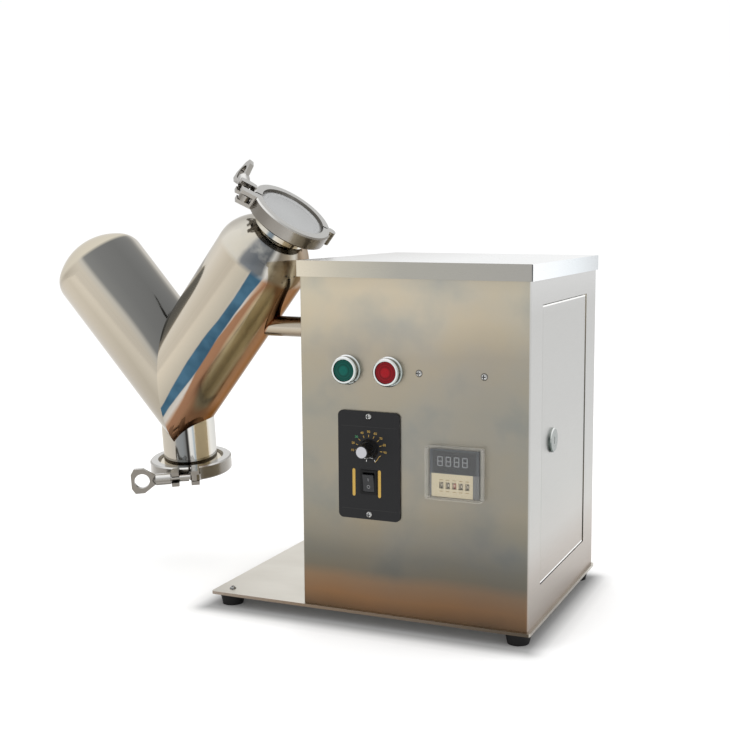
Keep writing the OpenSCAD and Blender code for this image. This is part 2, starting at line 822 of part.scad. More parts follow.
module on_lock() {
    on_side(lock_y, lock_z) translate([0, 0, -door_recess]) children();
}

module door_lock_body() {
    color("silver") on_lock() difference() {
        union() {
            cylinder(d = lock_d, h = lock_proud - lock_head_edge);
            translate([0, 0, lock_proud - lock_head_edge])
                cylinder(d1 = lock_d, d2 = lock_d - 2 * lock_head_edge, h = lock_head_edge);
            translate([0, 0, -door_fold]) cylinder(d = lock_barrel_d, h = door_fold + over);
        }
        translate([0, 0, -door_fold - over]) cylinder(d = lock_plug_d + 2 * fit_gap, h = door_fold + lock_proud + 2 * over);
    }
    color("silver") on_lock() translate([0, 0, -door_t - lock_nut_t]) difference() {
        nut(lock_nut_af, lock_nut_t);
        translate([0, 0, -over]) cylinder(d = lock_barrel_d + 2 * thread_gap, h = lock_nut_t + 2 * over);
    }
}

module door_lock_cam() {
    color("gray") on_lock() difference() {
        union() {
            translate([0, 0, -door_fold - cam_gap]) cylinder(d = lock_plug_d, h = door_fold + cam_gap + lock_proud);
            translate([0, 0, -door_fold - cam_gap - cam_t]) linear_extrude(cam_t) {
                circle(d = cam_w);
                translate([-cam_w / 2, -cam_reach]) square([cam_w, cam_reach]);
            }
        }
        translate([-key_slot_w / 2, -key_slot_l / 2, lock_proud - key_slot_depth])
            cube([key_slot_w, key_slot_l, key_slot_depth + over]);
    }
}

// Start and stop buttons

module button_ring(x) {
    on_front(x, button_z) difference() {
        union() {
            cylinder(d = bezel_d, h = bezel_flange_t - bezel_edge);
            translate([0, 0, bezel_flange_t - bezel_edge])
                cylinder(d1 = bezel_d, d2 = bezel_d - 2 * bezel_edge, h = bezel_edge);
            cylinder(d = bezel_ring_d, h = bezel_h - bezel_edge);
            translate([0, 0, bezel_h - bezel_edge])
                cylinder(d1 = bezel_ring_d, d2 = bezel_ring_d - 2 * bezel_edge, h = bezel_edge);
            translate([0, 0, -barrel_l]) cylinder(d = bezel_barrel_d, h = barrel_l + over);
        }
        cylinder(d = lens_d + 2 * lens_gap, h = bezel_h + over);
        translate([0, 0, -barrel_l - over]) cylinder(d = stem_d + 2 * lens_gap, h = barrel_l + 2 * over);
    }
}

module button_lens(x) {
    floor_z = button_travel + lens_rest_gap;
    lens_top = bezel_h + lens_proud;
    dome_r = (lens_d * lens_d / 4 + lens_dome_h * lens_dome_h) / (2 * lens_dome_h);
    on_front(x, button_z) {
        translate([0, 0, floor_z]) intersection() {
            cylinder(d = lens_d, h = lens_top - floor_z);
            translate([0, 0, lens_top - floor_z - dome_r]) sphere(r = dome_r);
        }
        translate([0, 0, -stem_l]) cylinder(d = stem_d, h = stem_l + floor_z + over);
    }
}

module start_button_ring() { color("silver") button_ring(start_x); }
module stop_button_ring() { color("silver") button_ring(start_x + button_pitch); }
module start_button_lens() { color([0.05, 0.42, 0.32]) button_lens(start_x); }
module stop_button_lens() { color([0.65, 0.08, 0.1]) button_lens(start_x + button_pitch); }

module button_lock_nuts() {
    color("dimgray") for (i = [0, 1]) on_front(start_x + i * button_pitch, button_z)
        translate([0, 0, -sheet_t - lock_ring_t]) difference() {
            nut(lock_ring_af, lock_ring_t);
            translate([0, 0, -over])
                cylinder(d = bezel_barrel_d + 2 * thread_gap, h = lock_ring_t + 2 * over);
        }
}

module button_contact_blocks() {
    color([0.15, 0.15, 0.16]) for (i = [0, 1]) on_front(start_x + i * button_pitch, button_z)
        translate([-contact_w / 2, -contact_w / 2, -barrel_l - contact_l]) difference() {
            cube([contact_w, contact_w, contact_l]);
            for (share = [0.25, 0.75])
                translate([contact_w * share - contact_slot_w / 2, -over, -over])
                    cube([contact_slot_w, contact_w + 2 * over, contact_slot_depth + over]);
        }
}

// Terminal strip behind the front panel, held by two screws

module terminal_strip() {
    color([0.85, 0.83, 0.76]) on_front(panel_screw_1 + panel_screw_pitch / 2, button_z) difference() {
        translate([-strip_w / 2, -strip_h / 2, -sheet_t - strip_l]) cube([strip_w, strip_h, strip_l]);
        for (i = [1:strip_ways])
            translate([-panel_screw_pitch / 2 + i * panel_screw_pitch / (strip_ways + 1), 0, -sheet_t - strip_l - over])
                cylinder(d = strip_way_d, h = strip_way_depth + over);
        for (side = [-1, 1]) translate([side * panel_screw_pitch / 2, 0, -sheet_t - panel_screw_l])
            cylinder(d = screw_d + 2 * thread_gap, h = panel_screw_l + over);
    }
}

module panel_screws() {
    color("gainsboro") {
        for (x = panel_screw_xs) on_front(x, button_z)
            pan_screw(screw_head_d, screw_head_h, screw_d, panel_screw_l);
        for (z = ctl_screw_zs) on_front(ctl_x, z) translate([0, 0, ctl_plate_t]) {
            pan_screw(screw_head_d, screw_head_h, screw_d, ctl_plate_t + sheet_t + nut_h);
            translate([0, 0, -ctl_plate_t - sheet_t - nut_h]) nut(nut_af, nut_h);
        }
    }
}

// Speed controller with its knob and rocker switch

module controller_body() {
    color([0.12, 0.12, 0.13]) difference() {
        on_front(ctl_x, ctl_z) translate([-ctl_body_w / 2, -ctl_body_h / 2, -ctl_body_l])
            cube([ctl_body_w, ctl_body_h, ctl_body_l]);
        on_front(ctl_x, rocker_z) switch_cut(switch_l);
        on_front(ctl_x, knob_z) translate([0, 0, -knob_shaft_l - cavity_gap])
            cylinder(d = knob_shaft_d + 2 * fit_gap, h = knob_shaft_l + cavity_gap + over);
    }
}

module controller_plate() {
    color([0.1, 0.1, 0.1]) difference() {
        on_front(ctl_x, ctl_z) linear_extrude(ctl_plate_t) centred_rounded_rect(ctl_w, ctl_h, ctl_corner_r);
        on_front(ctl_x, rocker_z) switch_cut(over);
        on_front(ctl_x, knob_z) translate([0, 0, -over])
            cylinder(d = knob_shaft_d + 2 * fit_gap, h = ctl_plate_t + 2 * over);
        for (z = ctl_screw_zs) on_front(ctl_x, z) translate([0, 0, -over])
            cylinder(d = screw_hole_d, h = ctl_plate_t + 2 * over);
    }
}

module speed_knob() {
    color([0.08, 0.08, 0.08]) on_front(ctl_x, knob_z) {
        translate([0, 0, -knob_shaft_l]) cylinder(d = knob_shaft_d, h = knob_shaft_l + ctl_plate_t + knob_rest_gap + over);
        translate([0, 0, ctl_plate_t + knob_rest_gap]) {
            cylinder(d1 = knob_d, d2 = knob_neck_d, h = knob_skirt_h);
            difference() {
                cylinder(d1 = knob_neck_d, d2 = knob_top_d, h = knob_h - knob_cap_t);
                for (i = [0:flutes - 1]) rotate([0, 0, i * 360 / flutes])
                    translate([knob_neck_d / 2, 0, knob_skirt_h]) cylinder(d = flute_d, h = knob_h, $fn = small_fn);
            }
            cylinder(d = knob_cap_d, h = knob_h);
        }
    }
}

module switch_cut(depth) {
    w = switch_body_w + 2 * hole_gap;
    h = switch_body_h + 2 * hole_gap;
    translate([-w / 2, -h / 2, -depth]) cube([w, h, depth + ctl_plate_t + over]);
}

module switch_housing() {
    color([0.06, 0.06, 0.06]) on_front(ctl_x, rocker_z) difference() {
        union() {
            translate([-switch_body_w / 2, -switch_body_h / 2, -switch_l + cavity_gap])
                cube([switch_body_w, switch_body_h, switch_l - cavity_gap + ctl_plate_t + switch_proud]);
            translate([-rocker_case_w / 2, -rocker_case_h / 2, ctl_plate_t])
                cube([rocker_case_w, rocker_case_h, switch_proud]);
        }
        translate([-switch_cavity_w / 2, -switch_cavity_h / 2, ctl_plate_t + switch_proud - switch_cavity_l])
            cube([switch_cavity_w, switch_cavity_h, switch_cavity_l + over]);
        translate([-rocker_case_w / 2 - over, 0, rocker_axle_z]) rotate([0, 90, 0])
            cylinder(d = rocker_axle_d + 2 * fit_gap, h = rocker_case_w + 2 * over, $fn = small_fn);
    }
}

module switch_rocker() {
    color([0.1, 0.1, 0.1]) on_front(ctl_x, rocker_z) translate([0, 0, rocker_axle_z])
        rotate([rocker_tilt, 0, 0]) {
            translate([-rocker_w / 2, 0, 0]) rotate([90, 0, 90]) linear_extrude(rocker_w)
                polygon([[-rocker_h / 2, 0], [-rocker_foot_h / 2, -rocker_back], [rocker_foot_h / 2, -rocker_back],
                    [rocker_h / 2, 0], [rocker_h / 2, rocker_front], [0, rocker_front - rocker_dip],
                    [-rocker_h / 2, rocker_front]]);
            translate([-switch_body_w / 2, 0, 0]) rotate([0, 90, 0])
                cylinder(d = rocker_axle_d, h = switch_body_w, $fn = small_fn);
        }
}

// Timer with a display, five number wheels and a clear cover

module on_timer() {
    on_front(timer_x, timer_z) children();
}

module timer_body() {
    wheels_w = wheels * wheel_pitch;
    cavity_h = wheel_d + 2 * wheel_gap;
    color([0.86, 0.83, 0.74]) on_timer() {
        difference() {
            union() {
                translate([-timer_case / 2, -timer_case / 2, -timer_depth])
                    cube([timer_case, timer_case, timer_depth]);
                linear_extrude(timer_bezel_t) centred_rounded_rect(timer_bezel_w, timer_bezel_h, timer_bezel_r);
            }
            translate([-display_w / 2, display_low, timer_bezel_t - display_t])
                cube([display_w, display_h, display_t + over]);
            translate([-wheels_w / 2, wheel_y - cavity_h / 2, wheel_z - cavity_h / 2])
                cube([wheels_w, cavity_h, cavity_h]);
            for (i = [1:wheels]) translate([(i - (wheels + 1) / 2) * wheel_pitch - window_w / 2,
                    wheel_y - window_h / 2, wheel_z])
                cube([window_w, window_h, timer_bezel_t - wheel_z + over]);
        }
        translate([-wheels_w / 2 - over, wheel_y, wheel_z]) rotate([0, 90, 0])
            cylinder(d = wheel_axle_d, h = wheels_w + 2 * over, $fn = small_fn);
    }
}

module timer_display() {
    color([0.12, 0.14, 0.17]) on_timer()
        translate([-display_w / 2 + display_gap, display_low + display_gap, timer_bezel_t - display_t])
            cube([display_w - 2 * display_gap, display_h - 2 * display_gap, display_t]);
}

module timer_cover() {
    color([0.85, 0.88, 0.88, 0.4]) on_timer() difference() {
        linear_extrude(timer_cover_h) centred_rounded_rect(timer_w, timer_h, clear_r);
        translate([0, 0, -over]) linear_extrude(timer_cover_h - clear_t + over)
            centred_rounded_rect(timer_w - 2 * clear_t, timer_h - 2 * clear_t, clear_r - clear_t);
    }
}

module timer_wheel(i) {
    color([0.9, 0.88, 0.8]) on_timer()
        translate([(i - (wheels + 1) / 2) * wheel_pitch - wheel_w / 2, wheel_y, wheel_z]) rotate([0, 90, 0])
            difference() {
                cylinder(d = wheel_d, h = wheel_w);
                translate([0, 0, -over]) cylinder(d = wheel_axle_d + 2 * fit_gap, h = wheel_w + 2 * over);
            }
}

module timer_wheel_1() { timer_wheel(1); }
module timer_wheel_2() { timer_wheel(2); }
module timer_wheel_3() { timer_wheel(3); }
module timer_wheel_4() { timer_wheel(4); }
module timer_wheel_5() { timer_wheel(5); }

// Bearing housing, motor and gearhead

module bearing_housing() {
    color([0.62, 0.64, 0.66]) on_shaft(housing_x) difference() {
        union() {
            cylinder(d = housing_flange_d, h = housing_flange_t);
            cylinder(d = housing_d, h = housing_l);
        }
        translate([0, 0, -over]) {
            cylinder(d = housing_waist_d, h = housing_l + 2 * over);
            cylinder(d = bearing_d + 2 * seat_gap, h = bearing_seat_l + over);
            housing_bolt_places() cylinder(d = drive_bolt_d + 2 * thread_gap, h = housing_flange_t + 2 * over);
        }
        translate([0, 0, housing_l - bearing_seat_l]) cylinder(d = bearing_d + 2 * seat_gap, h = bearing_seat_l + over);
    }
}

module bearing() {
    difference() {
        tube(bearing_d / 2, journal_d / 2 + fit_gap, bearing_w);
        for (z = [-over, bearing_w - seal_depth]) translate([0, 0, z])
            tube(seal_outer_d / 2, seal_inner_d / 2, seal_depth + over);
    }
}

module shaft_bearings() {
    color("lightgray") {
        on_shaft(housing_x + bearing_play) bearing();
        on_shaft(housing_x + housing_l - bearing_w) bearing();
    }
}

module motor_stand() {
    stand_h = motor_z + gearhead_w / 2 + stand_margin;
    color([0.7, 0.7, 0.7]) difference() {
        on_bench() translate([stand_x, stand_y, 0]) {
            cube([stand_t, stand_w, stand_h]);
            cube([stand_foot_l, stand_w, stand_t]);
            for (y = [0, stand_w - stand_t]) translate([0, y, 0]) cube([stand_fold, stand_t, stand_h]);
        }
        on_bench() translate([0, 0, -over]) for (x = stand_screw_xs, y = stand_screw_ys)
            translate([x, y, 0]) cylinder(d = screw_hole_d, h = stand_t + 2 * over);
        on_shaft(stand_x - over) cylinder(d = pilot_d + 2 * pilot_gap, h = stand_t + 2 * over);
        on_gearhead(stand_x - over) gearhead_bolt_places() cylinder(d = drive_bolt_hole_d, h = stand_t + 2 * over);
    }
}

module on_gearhead(x) {
    on_bench() translate([x, shaft_y, motor_z]) rotate([0, 90, 0]) children();
}

module gearhead_bolt_places() {
    for (x = [-1, 1], y = [-1, 1])
        translate([x * gearhead_bolt_pitch / 2, y * gearhead_bolt_pitch / 2, 0]) children();
}

module gearhead() {
    color([0.55, 0.57, 0.6]) difference() {
        union() {
            on_gearhead(gearhead_x) linear_extrude(gearhead_l) centred_rounded_rect(gearhead_w, gearhead_w, gearhead_r);
            on_shaft(stand_x) cylinder(d = pilot_d, h = stand_t + over);
        }
        on_shaft(stand_x - over) cylinder(d = output_d + 2 * fit_gap, h = stand_t + gearhead_l / 2 + over);
        on_gearhead(gearhead_x - over) gearhead_bolt_places()
            cylinder(d = drive_bolt_d + 2 * thread_gap, h = gearhead_bolt_l + over);
    }
}

module motor() {
    body_l = motor_l - motor_flange_t - motor_cap_l;
    color([0.45, 0.47, 0.5]) on_gearhead(motor_x) {
        linear_extrude(motor_flange_t) centred_rounded_rect(gearhead_w, gearhead_w, gearhead_r);
        translate([0, 0, motor_flange_t]) difference() {
            cylinder(d = motor_d, h = body_l);
            for (i = [1:motor_ribs]) translate([0, 0, i * body_l / (motor_ribs + 1) - motor_rib_t / 2])
                tube(motor_d, motor_d / 2 - motor_rib_depth, motor_rib_t);
        }
        translate([0, 0, motor_l - motor_cap_l]) cylinder(d1 = motor_d, d2 = motor_cap_d, h = motor_cap_l);
    }
}

module drive_bolts() {
    color("dimgray") {
        on_shaft(left_x) housing_bolt_places() mirror([0, 0, 1]) {
            pan_head(drive_bolt_head_d, drive_bolt_head_h);
            translate([0, 0, -sheet_t - housing_flange_t]) cylinder(d = drive_bolt_d, h = sheet_t + housing_flange_t + over);
        }
        on_gearhead(stand_x) gearhead_bolt_places() mirror([0, 0, 1]) {
            pan_head(drive_bolt_head_d, drive_bolt_head_h);
            translate([0, 0, -stand_t - gearhead_bolt_l]) cylinder(d = drive_bolt_d, h = stand_t + gearhead_bolt_l + over);
        }
    }
}

module run_capacitor() {
    color([0.2, 0.22, 0.25]) on_bench() translate([capacitor_x, capacitor_y, 0]) {
        linear_extrude(capacitor_h) rounded_rect(capacitor_w, capacitor_d, capacitor_r);
        for (share = [0.3, 0.7]) translate([capacitor_w * share, capacitor_d / 2 - tab_w / 2, capacitor_h - over])
            cube([tab_t, tab_w, tab_h + over]);
    }
}

// Drum: everything that turns with the shaft

module in_drum() {
    on_bench() translate([-drum_reach, shaft_y, shaft_z]) rotate([drum_tilt, 0, 0]) children();
}

module in_leg(side) {
    translate([0, 0, -axis_drop]) rotate([0, side * leg_angle, 0]) children();
}

module at_charging_port() {
    in_drum() in_leg(1) translate([0, 0, charge_at]) children();
}

module at_discharge_port() {
    in_drum() translate([0, 0, -axis_drop - discharge_at]) rotate([180, 0, 0]) children();
}

// Half section of a leg: a tube closed by a dished end whose knuckle and
// crown are two arcs that meet in a common tangent
module leg_section(r, len, dome_h, knuckle) {
    a = r - knuckle;
    b = dome_h - knuckle;
    c = (a * a - b * b) / (2 * b);
    crown_r = dome_h + c;
    reach = 2 * crown_r / (crown_r - knuckle);
    translate([0, -leg_tail]) square([r, len + leg_tail]);
    translate([0, len]) square([a, knuckle * half]);
    intersection() {
        translate([a, len]) circle(r = knuckle);
        translate([0, len - over]) square([r + over, knuckle + 2 * over]);
    }
    intersection() {
        translate([0, len - c]) circle(r = crown_r);
        translate([0, len - c]) polygon([[0, 0], [a * reach, c * reach], [0, (c + crown_r) * reach]]);
    }
}

module leg_body(r, len, dome_h, knuckle) {
    rotate_extrude() leg_section(r, len, dome_h, knuckle);
}

module leg_side(side) {
    translate([side < 0 ? -drum_span : 0, -drum_span / 2, -drum_span]) cube([drum_span, drum_span, 2 * drum_span]);
}

module left_outer() {
    in_leg(-1) leg_body(leg_r, left_len, left_dome_h, left_knuckle);
}

module right_outer() {
    in_leg(1) leg_body(leg_r, right_len, right_dome_h, right_knuckle);
}

module discharge_bore() {
    translate([0, 0, -axis_drop - discharge_at]) cylinder(r = neck_in, h = discharge_at);
}

module left_leg() {
    color([0.82, 0.8, 0.76]) in_drum() intersection() {
        difference() {
            left_outer();
            in_leg(-1) leg_body(leg_r - drum_wall, left_len, left_dome_h - drum_wall, left_knuckle - drum_wall);
            discharge_bore();
        }
        leg_side(-1);
    }
}

module right_leg() {
    color([0.84, 0.82, 0.78]) in_drum() intersection() {
        difference() {
            union() {
                right_outer();
                translate([axis_drop * tan(leg_angle), 0, 0]) rotate([0, 90, 0])
                    cylinder(d = shaft_d, h = stub_end - axis_drop * tan(leg_angle));
            }
            in_leg(1) leg_body(leg_r - drum_wall, right_len, right_dome_h - drum_wall, right_knuckle - drum_wall);
            in_leg(1) translate([0, 0, right_len]) cylinder(r = neck_in, h = right_dome_h + over);
            discharge_bore();
        }
        leg_side(1);
    }
}

// Port tube that ends in a ferrule, with the gasket's middle at Z = 0
module ferrule(len) {
    rotate_extrude() polygon([[neck_in, -len], [neck_in, -gasket_t / 2], [ferrule_r, -gasket_t / 2],
        [ferrule_r, -rim_z], [ferrule_r - slope_run, -rim_z - slope_rise], [neck_r, -rim_z - slope_rise],
        [neck_r, -len]]);
}

module charging_port() {
    color([0.8, 0.78, 0.75]) difference() {
        at_charging_port() ferrule(charge_rise);
        in_drum() in_leg(1) leg_body(leg_r + seat_gap, right_len, right_dome_h + seat_gap, right_knuckle + seat_gap);
    }
}

module discharge_port() {
    color([0.8, 0.78, 0.75]) difference() {
        at_discharge_port() ferrule(discharge_at - neck_top);
        in_drum() {
            intersection() {
                in_leg(-1) leg_body(leg_r + seat_gap, left_len, left_dome_h, left_knuckle);
                leg_side(-1);
            }
            intersection() {
                in_leg(1) leg_body(leg_r + seat_gap, right_len, right_dome_h, right_knuckle);
                leg_side(1);
            }
        }
    }
}

module port_gaskets() {
    color([0.9, 0.9, 0.88]) {
        at_charging_port() translate([0, 0, -gasket_t / 2]) tube(ferrule_r - seat_gap, neck_in, gasket_t);
        at_discharge_port() translate([0, 0, -gasket_t / 2]) tube(ferrule_r - seat_gap, neck_in, gasket_t);
    }
}

module port_cap() {
    top_z = rim_z + slope_rise;
    rotate_extrude() polygon([[0, gasket_t / 2], [ferrule_r, gasket_t / 2], [ferrule_r, rim_z],
        [ferrule_r - slope_run, top_z], [cap_dish_r, top_z], [cap_dish_r - cap_dish_slope, top_z - cap_dish_depth],
        [0, top_z - cap_dish_depth]]);
}

module charging_lid() { color([0.75, 0.75, 0.76]) at_charging_port() port_cap(); }
module discharge_cap() { color([0.75, 0.75, 0.76]) at_discharge_port() port_cap(); }

// Two-piece clamp. Its bolt swings on a pin in the pivot half and lies in the
// open fork of the slot half. The bolt is at +X and runs towards +Y.

module charge_clamp_frame() {
    at_charging_port() rotate([0, 0, charge_turn]) rotate([180, 0, 0]) children();
}

module discharge_clamp_frame() {
    at_discharge_port() rotate([0, 0, discharge_turn]) children();
}

module clamp_section() {
    z_lip = rim_z + lip_overlap * tan(ferrule_slope) + clamp_clear;
    z_rim = rim_z + clamp_clear * (1 - tan(ferrule_slope));
    h = clamp_h / 2;
    polygon([[lip_r, h], [clamp_r - clamp_edge, h], [clamp_r, h - clamp_edge], [clamp_r, clamp_edge - h],
        [clamp_r - clamp_edge, -h], [lip_r, -h], [lip_r, -z_lip], [ferrule_r + clamp_clear, -z_rim],
        [ferrule_r + clamp_clear, z_rim], [lip_r, z_lip]]);
}

// side = -1 is the pivot half, side = 1 the slot half
module clamp_half(side) {
    outer_x = bolt_x + lug_end;
    lug_y = side < 0 ? pivot_y - pivot_lug_l / 2 : pivot_y + bolt_reach - slot_lug_l;
    lug_l = side < 0 ? pivot_lug_l : slot_lug_l;
    outer_h = (clamp_h - knuckle_mid_h) / 2 - knuckle_gap;
    difference() {
        union() {
            intersection() {
                rotate_extrude() clamp_section();
                translate([-clamp_d, side < 0 ? -clamp_d - split_gap / 2 : split_gap / 2, -clamp_h])
                    cube([2 * clamp_d, clamp_d, 2 * clamp_h]);
            }
            intersection() {
                translate([clamp_r - lug_root, lug_y, -clamp_h / 2])
                    cube([outer_x - clamp_r + lug_root, lug_l, clamp_h]);
                translate([bolt_x, pivot_y, -clamp_h]) cylinder(r = bolt_reach, h = 2 * clamp_h);
            }
            if (side < 0) for (z = [-clamp_h / 2, clamp_h / 2 - outer_h]) translate([hinge_x, 0, z])
                hinge_knuckle(side, outer_h);
            if (side > 0) translate([hinge_x, 0, -knuckle_mid_h / 2]) hinge_knuckle(side, knuckle_mid_h);
        }
        translate([clamp_r + fork_web, lug_y - over, -fork_gap / 2])
            cube([outer_x, lug_l + 2 * over, fork_gap]);
        if (side < 0) translate([bolt_x, pivot_y, -clamp_h]) cylinder(d = bolt_pin_d + 2 * seat_gap, h = 2 * clamp_h);
        translate([hinge_x, 0, -clamp_h]) cylinder(d = hinge_pin_d + 2 * seat_gap, h = 2 * clamp_h);
        if (side < 0) translate([hinge_x, 0, -knuckle_mid_h / 2 - knuckle_gap])
            cylinder(d = knuckle_d + 2 * knuckle_gap, h = knuckle_mid_h + 2 * knuckle_gap);
        if (side > 0) for (z = [-clamp_h, knuckle_mid_h / 2])
            translate([hinge_x, 0, z]) cylinder(d = knuckle_d + 2 * knuckle_gap, h = clamp_h - knuckle_mid_h / 2);
        translate([0, 0, -clamp_h]) cylinder(r = lip_r, h = 2 * clamp_h);
    }
}

module hinge_knuckle(side, h) {
    cylinder(d = knuckle_d, h = h);
    translate([0, side < 0 ? -knuckle_d / 2 : 0, 0]) cube([knuckle_d * half + hinge_out, knuckle_d / 2, h]);
}

module clamp_bolt() {
    difference() {
        union() {
            translate([bolt_x, pivot_y, -eye_t / 2]) cylinder(d = eye_d, h = eye_t);
            translate([bolt_x, pivot_y, 0]) rotate([-90, 0, 0]) cylinder(d = bolt_d, h = bolt_l);
        }
        translate([bolt_x, pivot_y, -eye_t]) cylinder(d = bolt_pin_d + 2 * fit_gap, h = 2 * eye_t);
    }
}

// Nut cast in one piece with a flat plate that has an eye for the fingers
module clamp_nut(turn) {
    plate = [[plate_from, nut_neck_w / 2], [nut_flare_from, nut_neck_w / 2], [nut_plate_corner, nut_plate_w / 2],
        [nut_plate_far, nut_plate_w / 2], [nut_plate_tip, nut_tip_w / 2]];
    translate([bolt_x, pivot_y + bolt_reach + nut_seat_gap, 0]) rotate([0, turn, 0]) difference() {
        union() {
            rotate([-90, 0, 0]) cylinder(d = hub_d, h = hub_l - over);
            rotate([-90, 0, 0]) translate([0, 0, hub_l - over]) cylinder(d1 = hub_d, d2 = nut_plate_t, h = hub_taper_l);
            translate([-nut_plate_t / 2, 0, 0]) rotate([90, 0, 90]) linear_extrude(nut_plate_t) difference() {
                polygon(concat(plate, [for (i = [len(plate) - 1:-1:0]) [plate[i][0], -plate[i][1]]]));
                translate([nut_eye_at, 0]) circle(d = nut_eye_d);
            }
        }
        rotate([-90, 0, 0]) translate([0, 0, -over]) cylinder(d = bolt_d + 2 * fit_gap, h = nut_depth + over);
    }
}

module clamp_pin_pair() {
    translate([bolt_x, pivot_y, -clamp_h / 2]) cylinder(d = bolt_pin_d, h = clamp_h);
    translate([hinge_x, 0, -clamp_h / 2]) cylinder(d = hinge_pin_d, h = clamp_h);
}

module charge_clamp_pivot_half() { color("silver") charge_clamp_frame() clamp_half(-1); }
module charge_clamp_slot_half() { color("silver") charge_clamp_frame() clamp_half(1); }
module charge_clamp_bolt() { color("gainsboro") charge_clamp_frame() clamp_bolt(); }
module charge_clamp_nut() { color("silver") charge_clamp_frame() clamp_nut(charge_nut_turn); }
module discharge_clamp_pivot_half() { color("silver") discharge_clamp_frame() clamp_half(-1); }
module discharge_clamp_slot_half() { color("silver") discharge_clamp_frame() clamp_half(1); }
module discharge_clamp_bolt() { color("gainsboro") discharge_clamp_frame() clamp_bolt(); }
module discharge_clamp_nut() { color("silver") discharge_clamp_frame() clamp_nut(0); }

module clamp_pins() {
    color("gainsboro") {
        charge_clamp_frame() clamp_pin_pair();
        discharge_clamp_frame() clamp_pin_pair();
    }
}

// Shaft train

module drive_shaft() {
    step_x = drum_reach + housing_x + bearing_play - shaft_step_gap;
    end_x = drum_reach + coupling_x + coupling_l / 2;
    color("silver") in_drum() rotate([0, 90, 0]) {
        translate([0, 0, stub_end]) cylinder(d = shaft_d, h = step_x - stub_end);
        translate([0, 0, step_x - over]) cylinder(d = journal_d, h = end_x - step_x + over - shaft_step_gap);
    }
}

module shaft_coupling() {
    color([0.6, 0.6, 0.62]) on_shaft(coupling_x) difference() {
        cylinder(d = coupling_d, h = coupling_l);
        translate([0, 0, -over]) cylinder(d = journal_d + 2 * seat_gap, h = coupling_l / 2 + over);
        cylinder(d = output_d + 2 * seat_gap, h = coupling_l + over);
    }
}

module output_shaft() {
    inner_x = coupling_x + coupling_l / 2 + shaft_step_gap;
    color("silver") on_shaft(inner_x)
        cylinder(d = output_d, h = gearhead_x + gearhead_l / 2 - inner_x - cavity_gap);
}

base_plate();
rubber_feet();
base_screws();
cabinet_shell();
back_panel();
top_cover();
casing_screws();
side_door();
door_hinge_pins();
door_lock_body();
door_lock_cam();
start_button_ring();
start_button_lens();
stop_button_ring();
stop_button_lens();
button_lock_nuts();
button_contact_blocks();
terminal_strip();
panel_screws();
controller_body();
controller_plate();
speed_knob();
switch_housing();
switch_rocker();
timer_body();
timer_display();
timer_cover();
timer_wheel_1();
timer_wheel_2();
timer_wheel_3();
timer_wheel_4();
timer_wheel_5();
power_inlet();
inlet_pins();
bearing_housing();
shaft_bearings();
motor_stand();
motor();
gearhead();
drive_bolts();
run_capacitor();
drive_shaft();
shaft_coupling();
output_shaft();
left_leg();
right_leg();
charging_port();
discharge_port();
port_gaskets();
charging_lid();
discharge_cap();
charge_clamp_pivot_half();
charge_clamp_slot_half();
charge_clamp_bolt();
charge_clamp_nut();
discharge_clamp_pivot_half();
discharge_clamp_slot_half();
discharge_clamp_bolt();
discharge_clamp_nut();
clamp_pins();
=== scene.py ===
import math

import bmesh
import bpy
from mathutils import Matrix, Vector


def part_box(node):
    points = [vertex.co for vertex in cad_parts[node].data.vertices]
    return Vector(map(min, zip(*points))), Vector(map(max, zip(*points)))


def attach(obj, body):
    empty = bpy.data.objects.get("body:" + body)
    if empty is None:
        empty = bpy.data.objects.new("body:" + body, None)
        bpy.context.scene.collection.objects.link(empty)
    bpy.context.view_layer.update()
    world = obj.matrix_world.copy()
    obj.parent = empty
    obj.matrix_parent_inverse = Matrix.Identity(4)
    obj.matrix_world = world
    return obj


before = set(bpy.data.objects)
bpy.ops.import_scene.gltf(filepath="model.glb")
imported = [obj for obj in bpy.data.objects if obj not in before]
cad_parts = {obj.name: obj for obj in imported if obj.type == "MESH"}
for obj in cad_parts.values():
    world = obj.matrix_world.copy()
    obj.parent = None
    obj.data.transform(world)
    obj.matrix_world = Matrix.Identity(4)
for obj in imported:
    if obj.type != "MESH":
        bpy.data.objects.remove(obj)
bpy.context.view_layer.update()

MM = 0.001
RIGHT, LEFT, FRONT, BACK, UP = (1, 0, 0), (-1, 0, 0), (0, -1, 0), (0, 1, 0), (0, 0, 1)

# The cabinet's own corner, from which part.scad measures, lies here in the part's frame.
# Lengths and places in capitals are in millimetres, as in part.scad.
ORIGIN = Vector((60.596, -113.25, 15.0))
CAB_W, CAB_D, SHEET_H = 238.0, 240.0, 324.0
PLATE_LEFT, PLATE_W = -103.0, 341.0
DOOR_LIP = 1.6
FRONT_Y = 2.5
TIMER_X, TIMER_Z = 164.5, 145.0


def cab(x, y, z):
    """A point of the cabinet's frame, in millimetres, as a point of the part, in metres."""
    return (Vector((x, y, z)) + ORIGIN) * MM


# The drum's frames: the crossing of its legs, and turns whose third axis runs up a leg
TILT = Matrix.Rotation(math.radians(5.5), 3, "X")
LEG_ANGLE = math.radians(39)
SHAFT = Vector((-214.0, 120.0, 262.7))
CROSSING = cab(*(SHAFT + TILT @ Vector((0, 0, -65))))
LEFT_LEG = TILT @ Matrix.Rotation(-LEG_ANGLE, 3, "Y")
RIGHT_LEG = TILT @ Matrix.Rotation(LEG_ANGLE, 3, "Y")

# ---------------------------------------------------------------- tables of colours


def srgb(r, g, b):
    """A colour as seen on a screen, 0 to 255, as a linear colour."""
    out = []
    for v in (r, g, b):
        c = v / 255
        out.append(c / 12.92 if c <= 0.04045 else ((c + 0.055) / 1.055) ** 2.4)
    return (*out, 1.0)


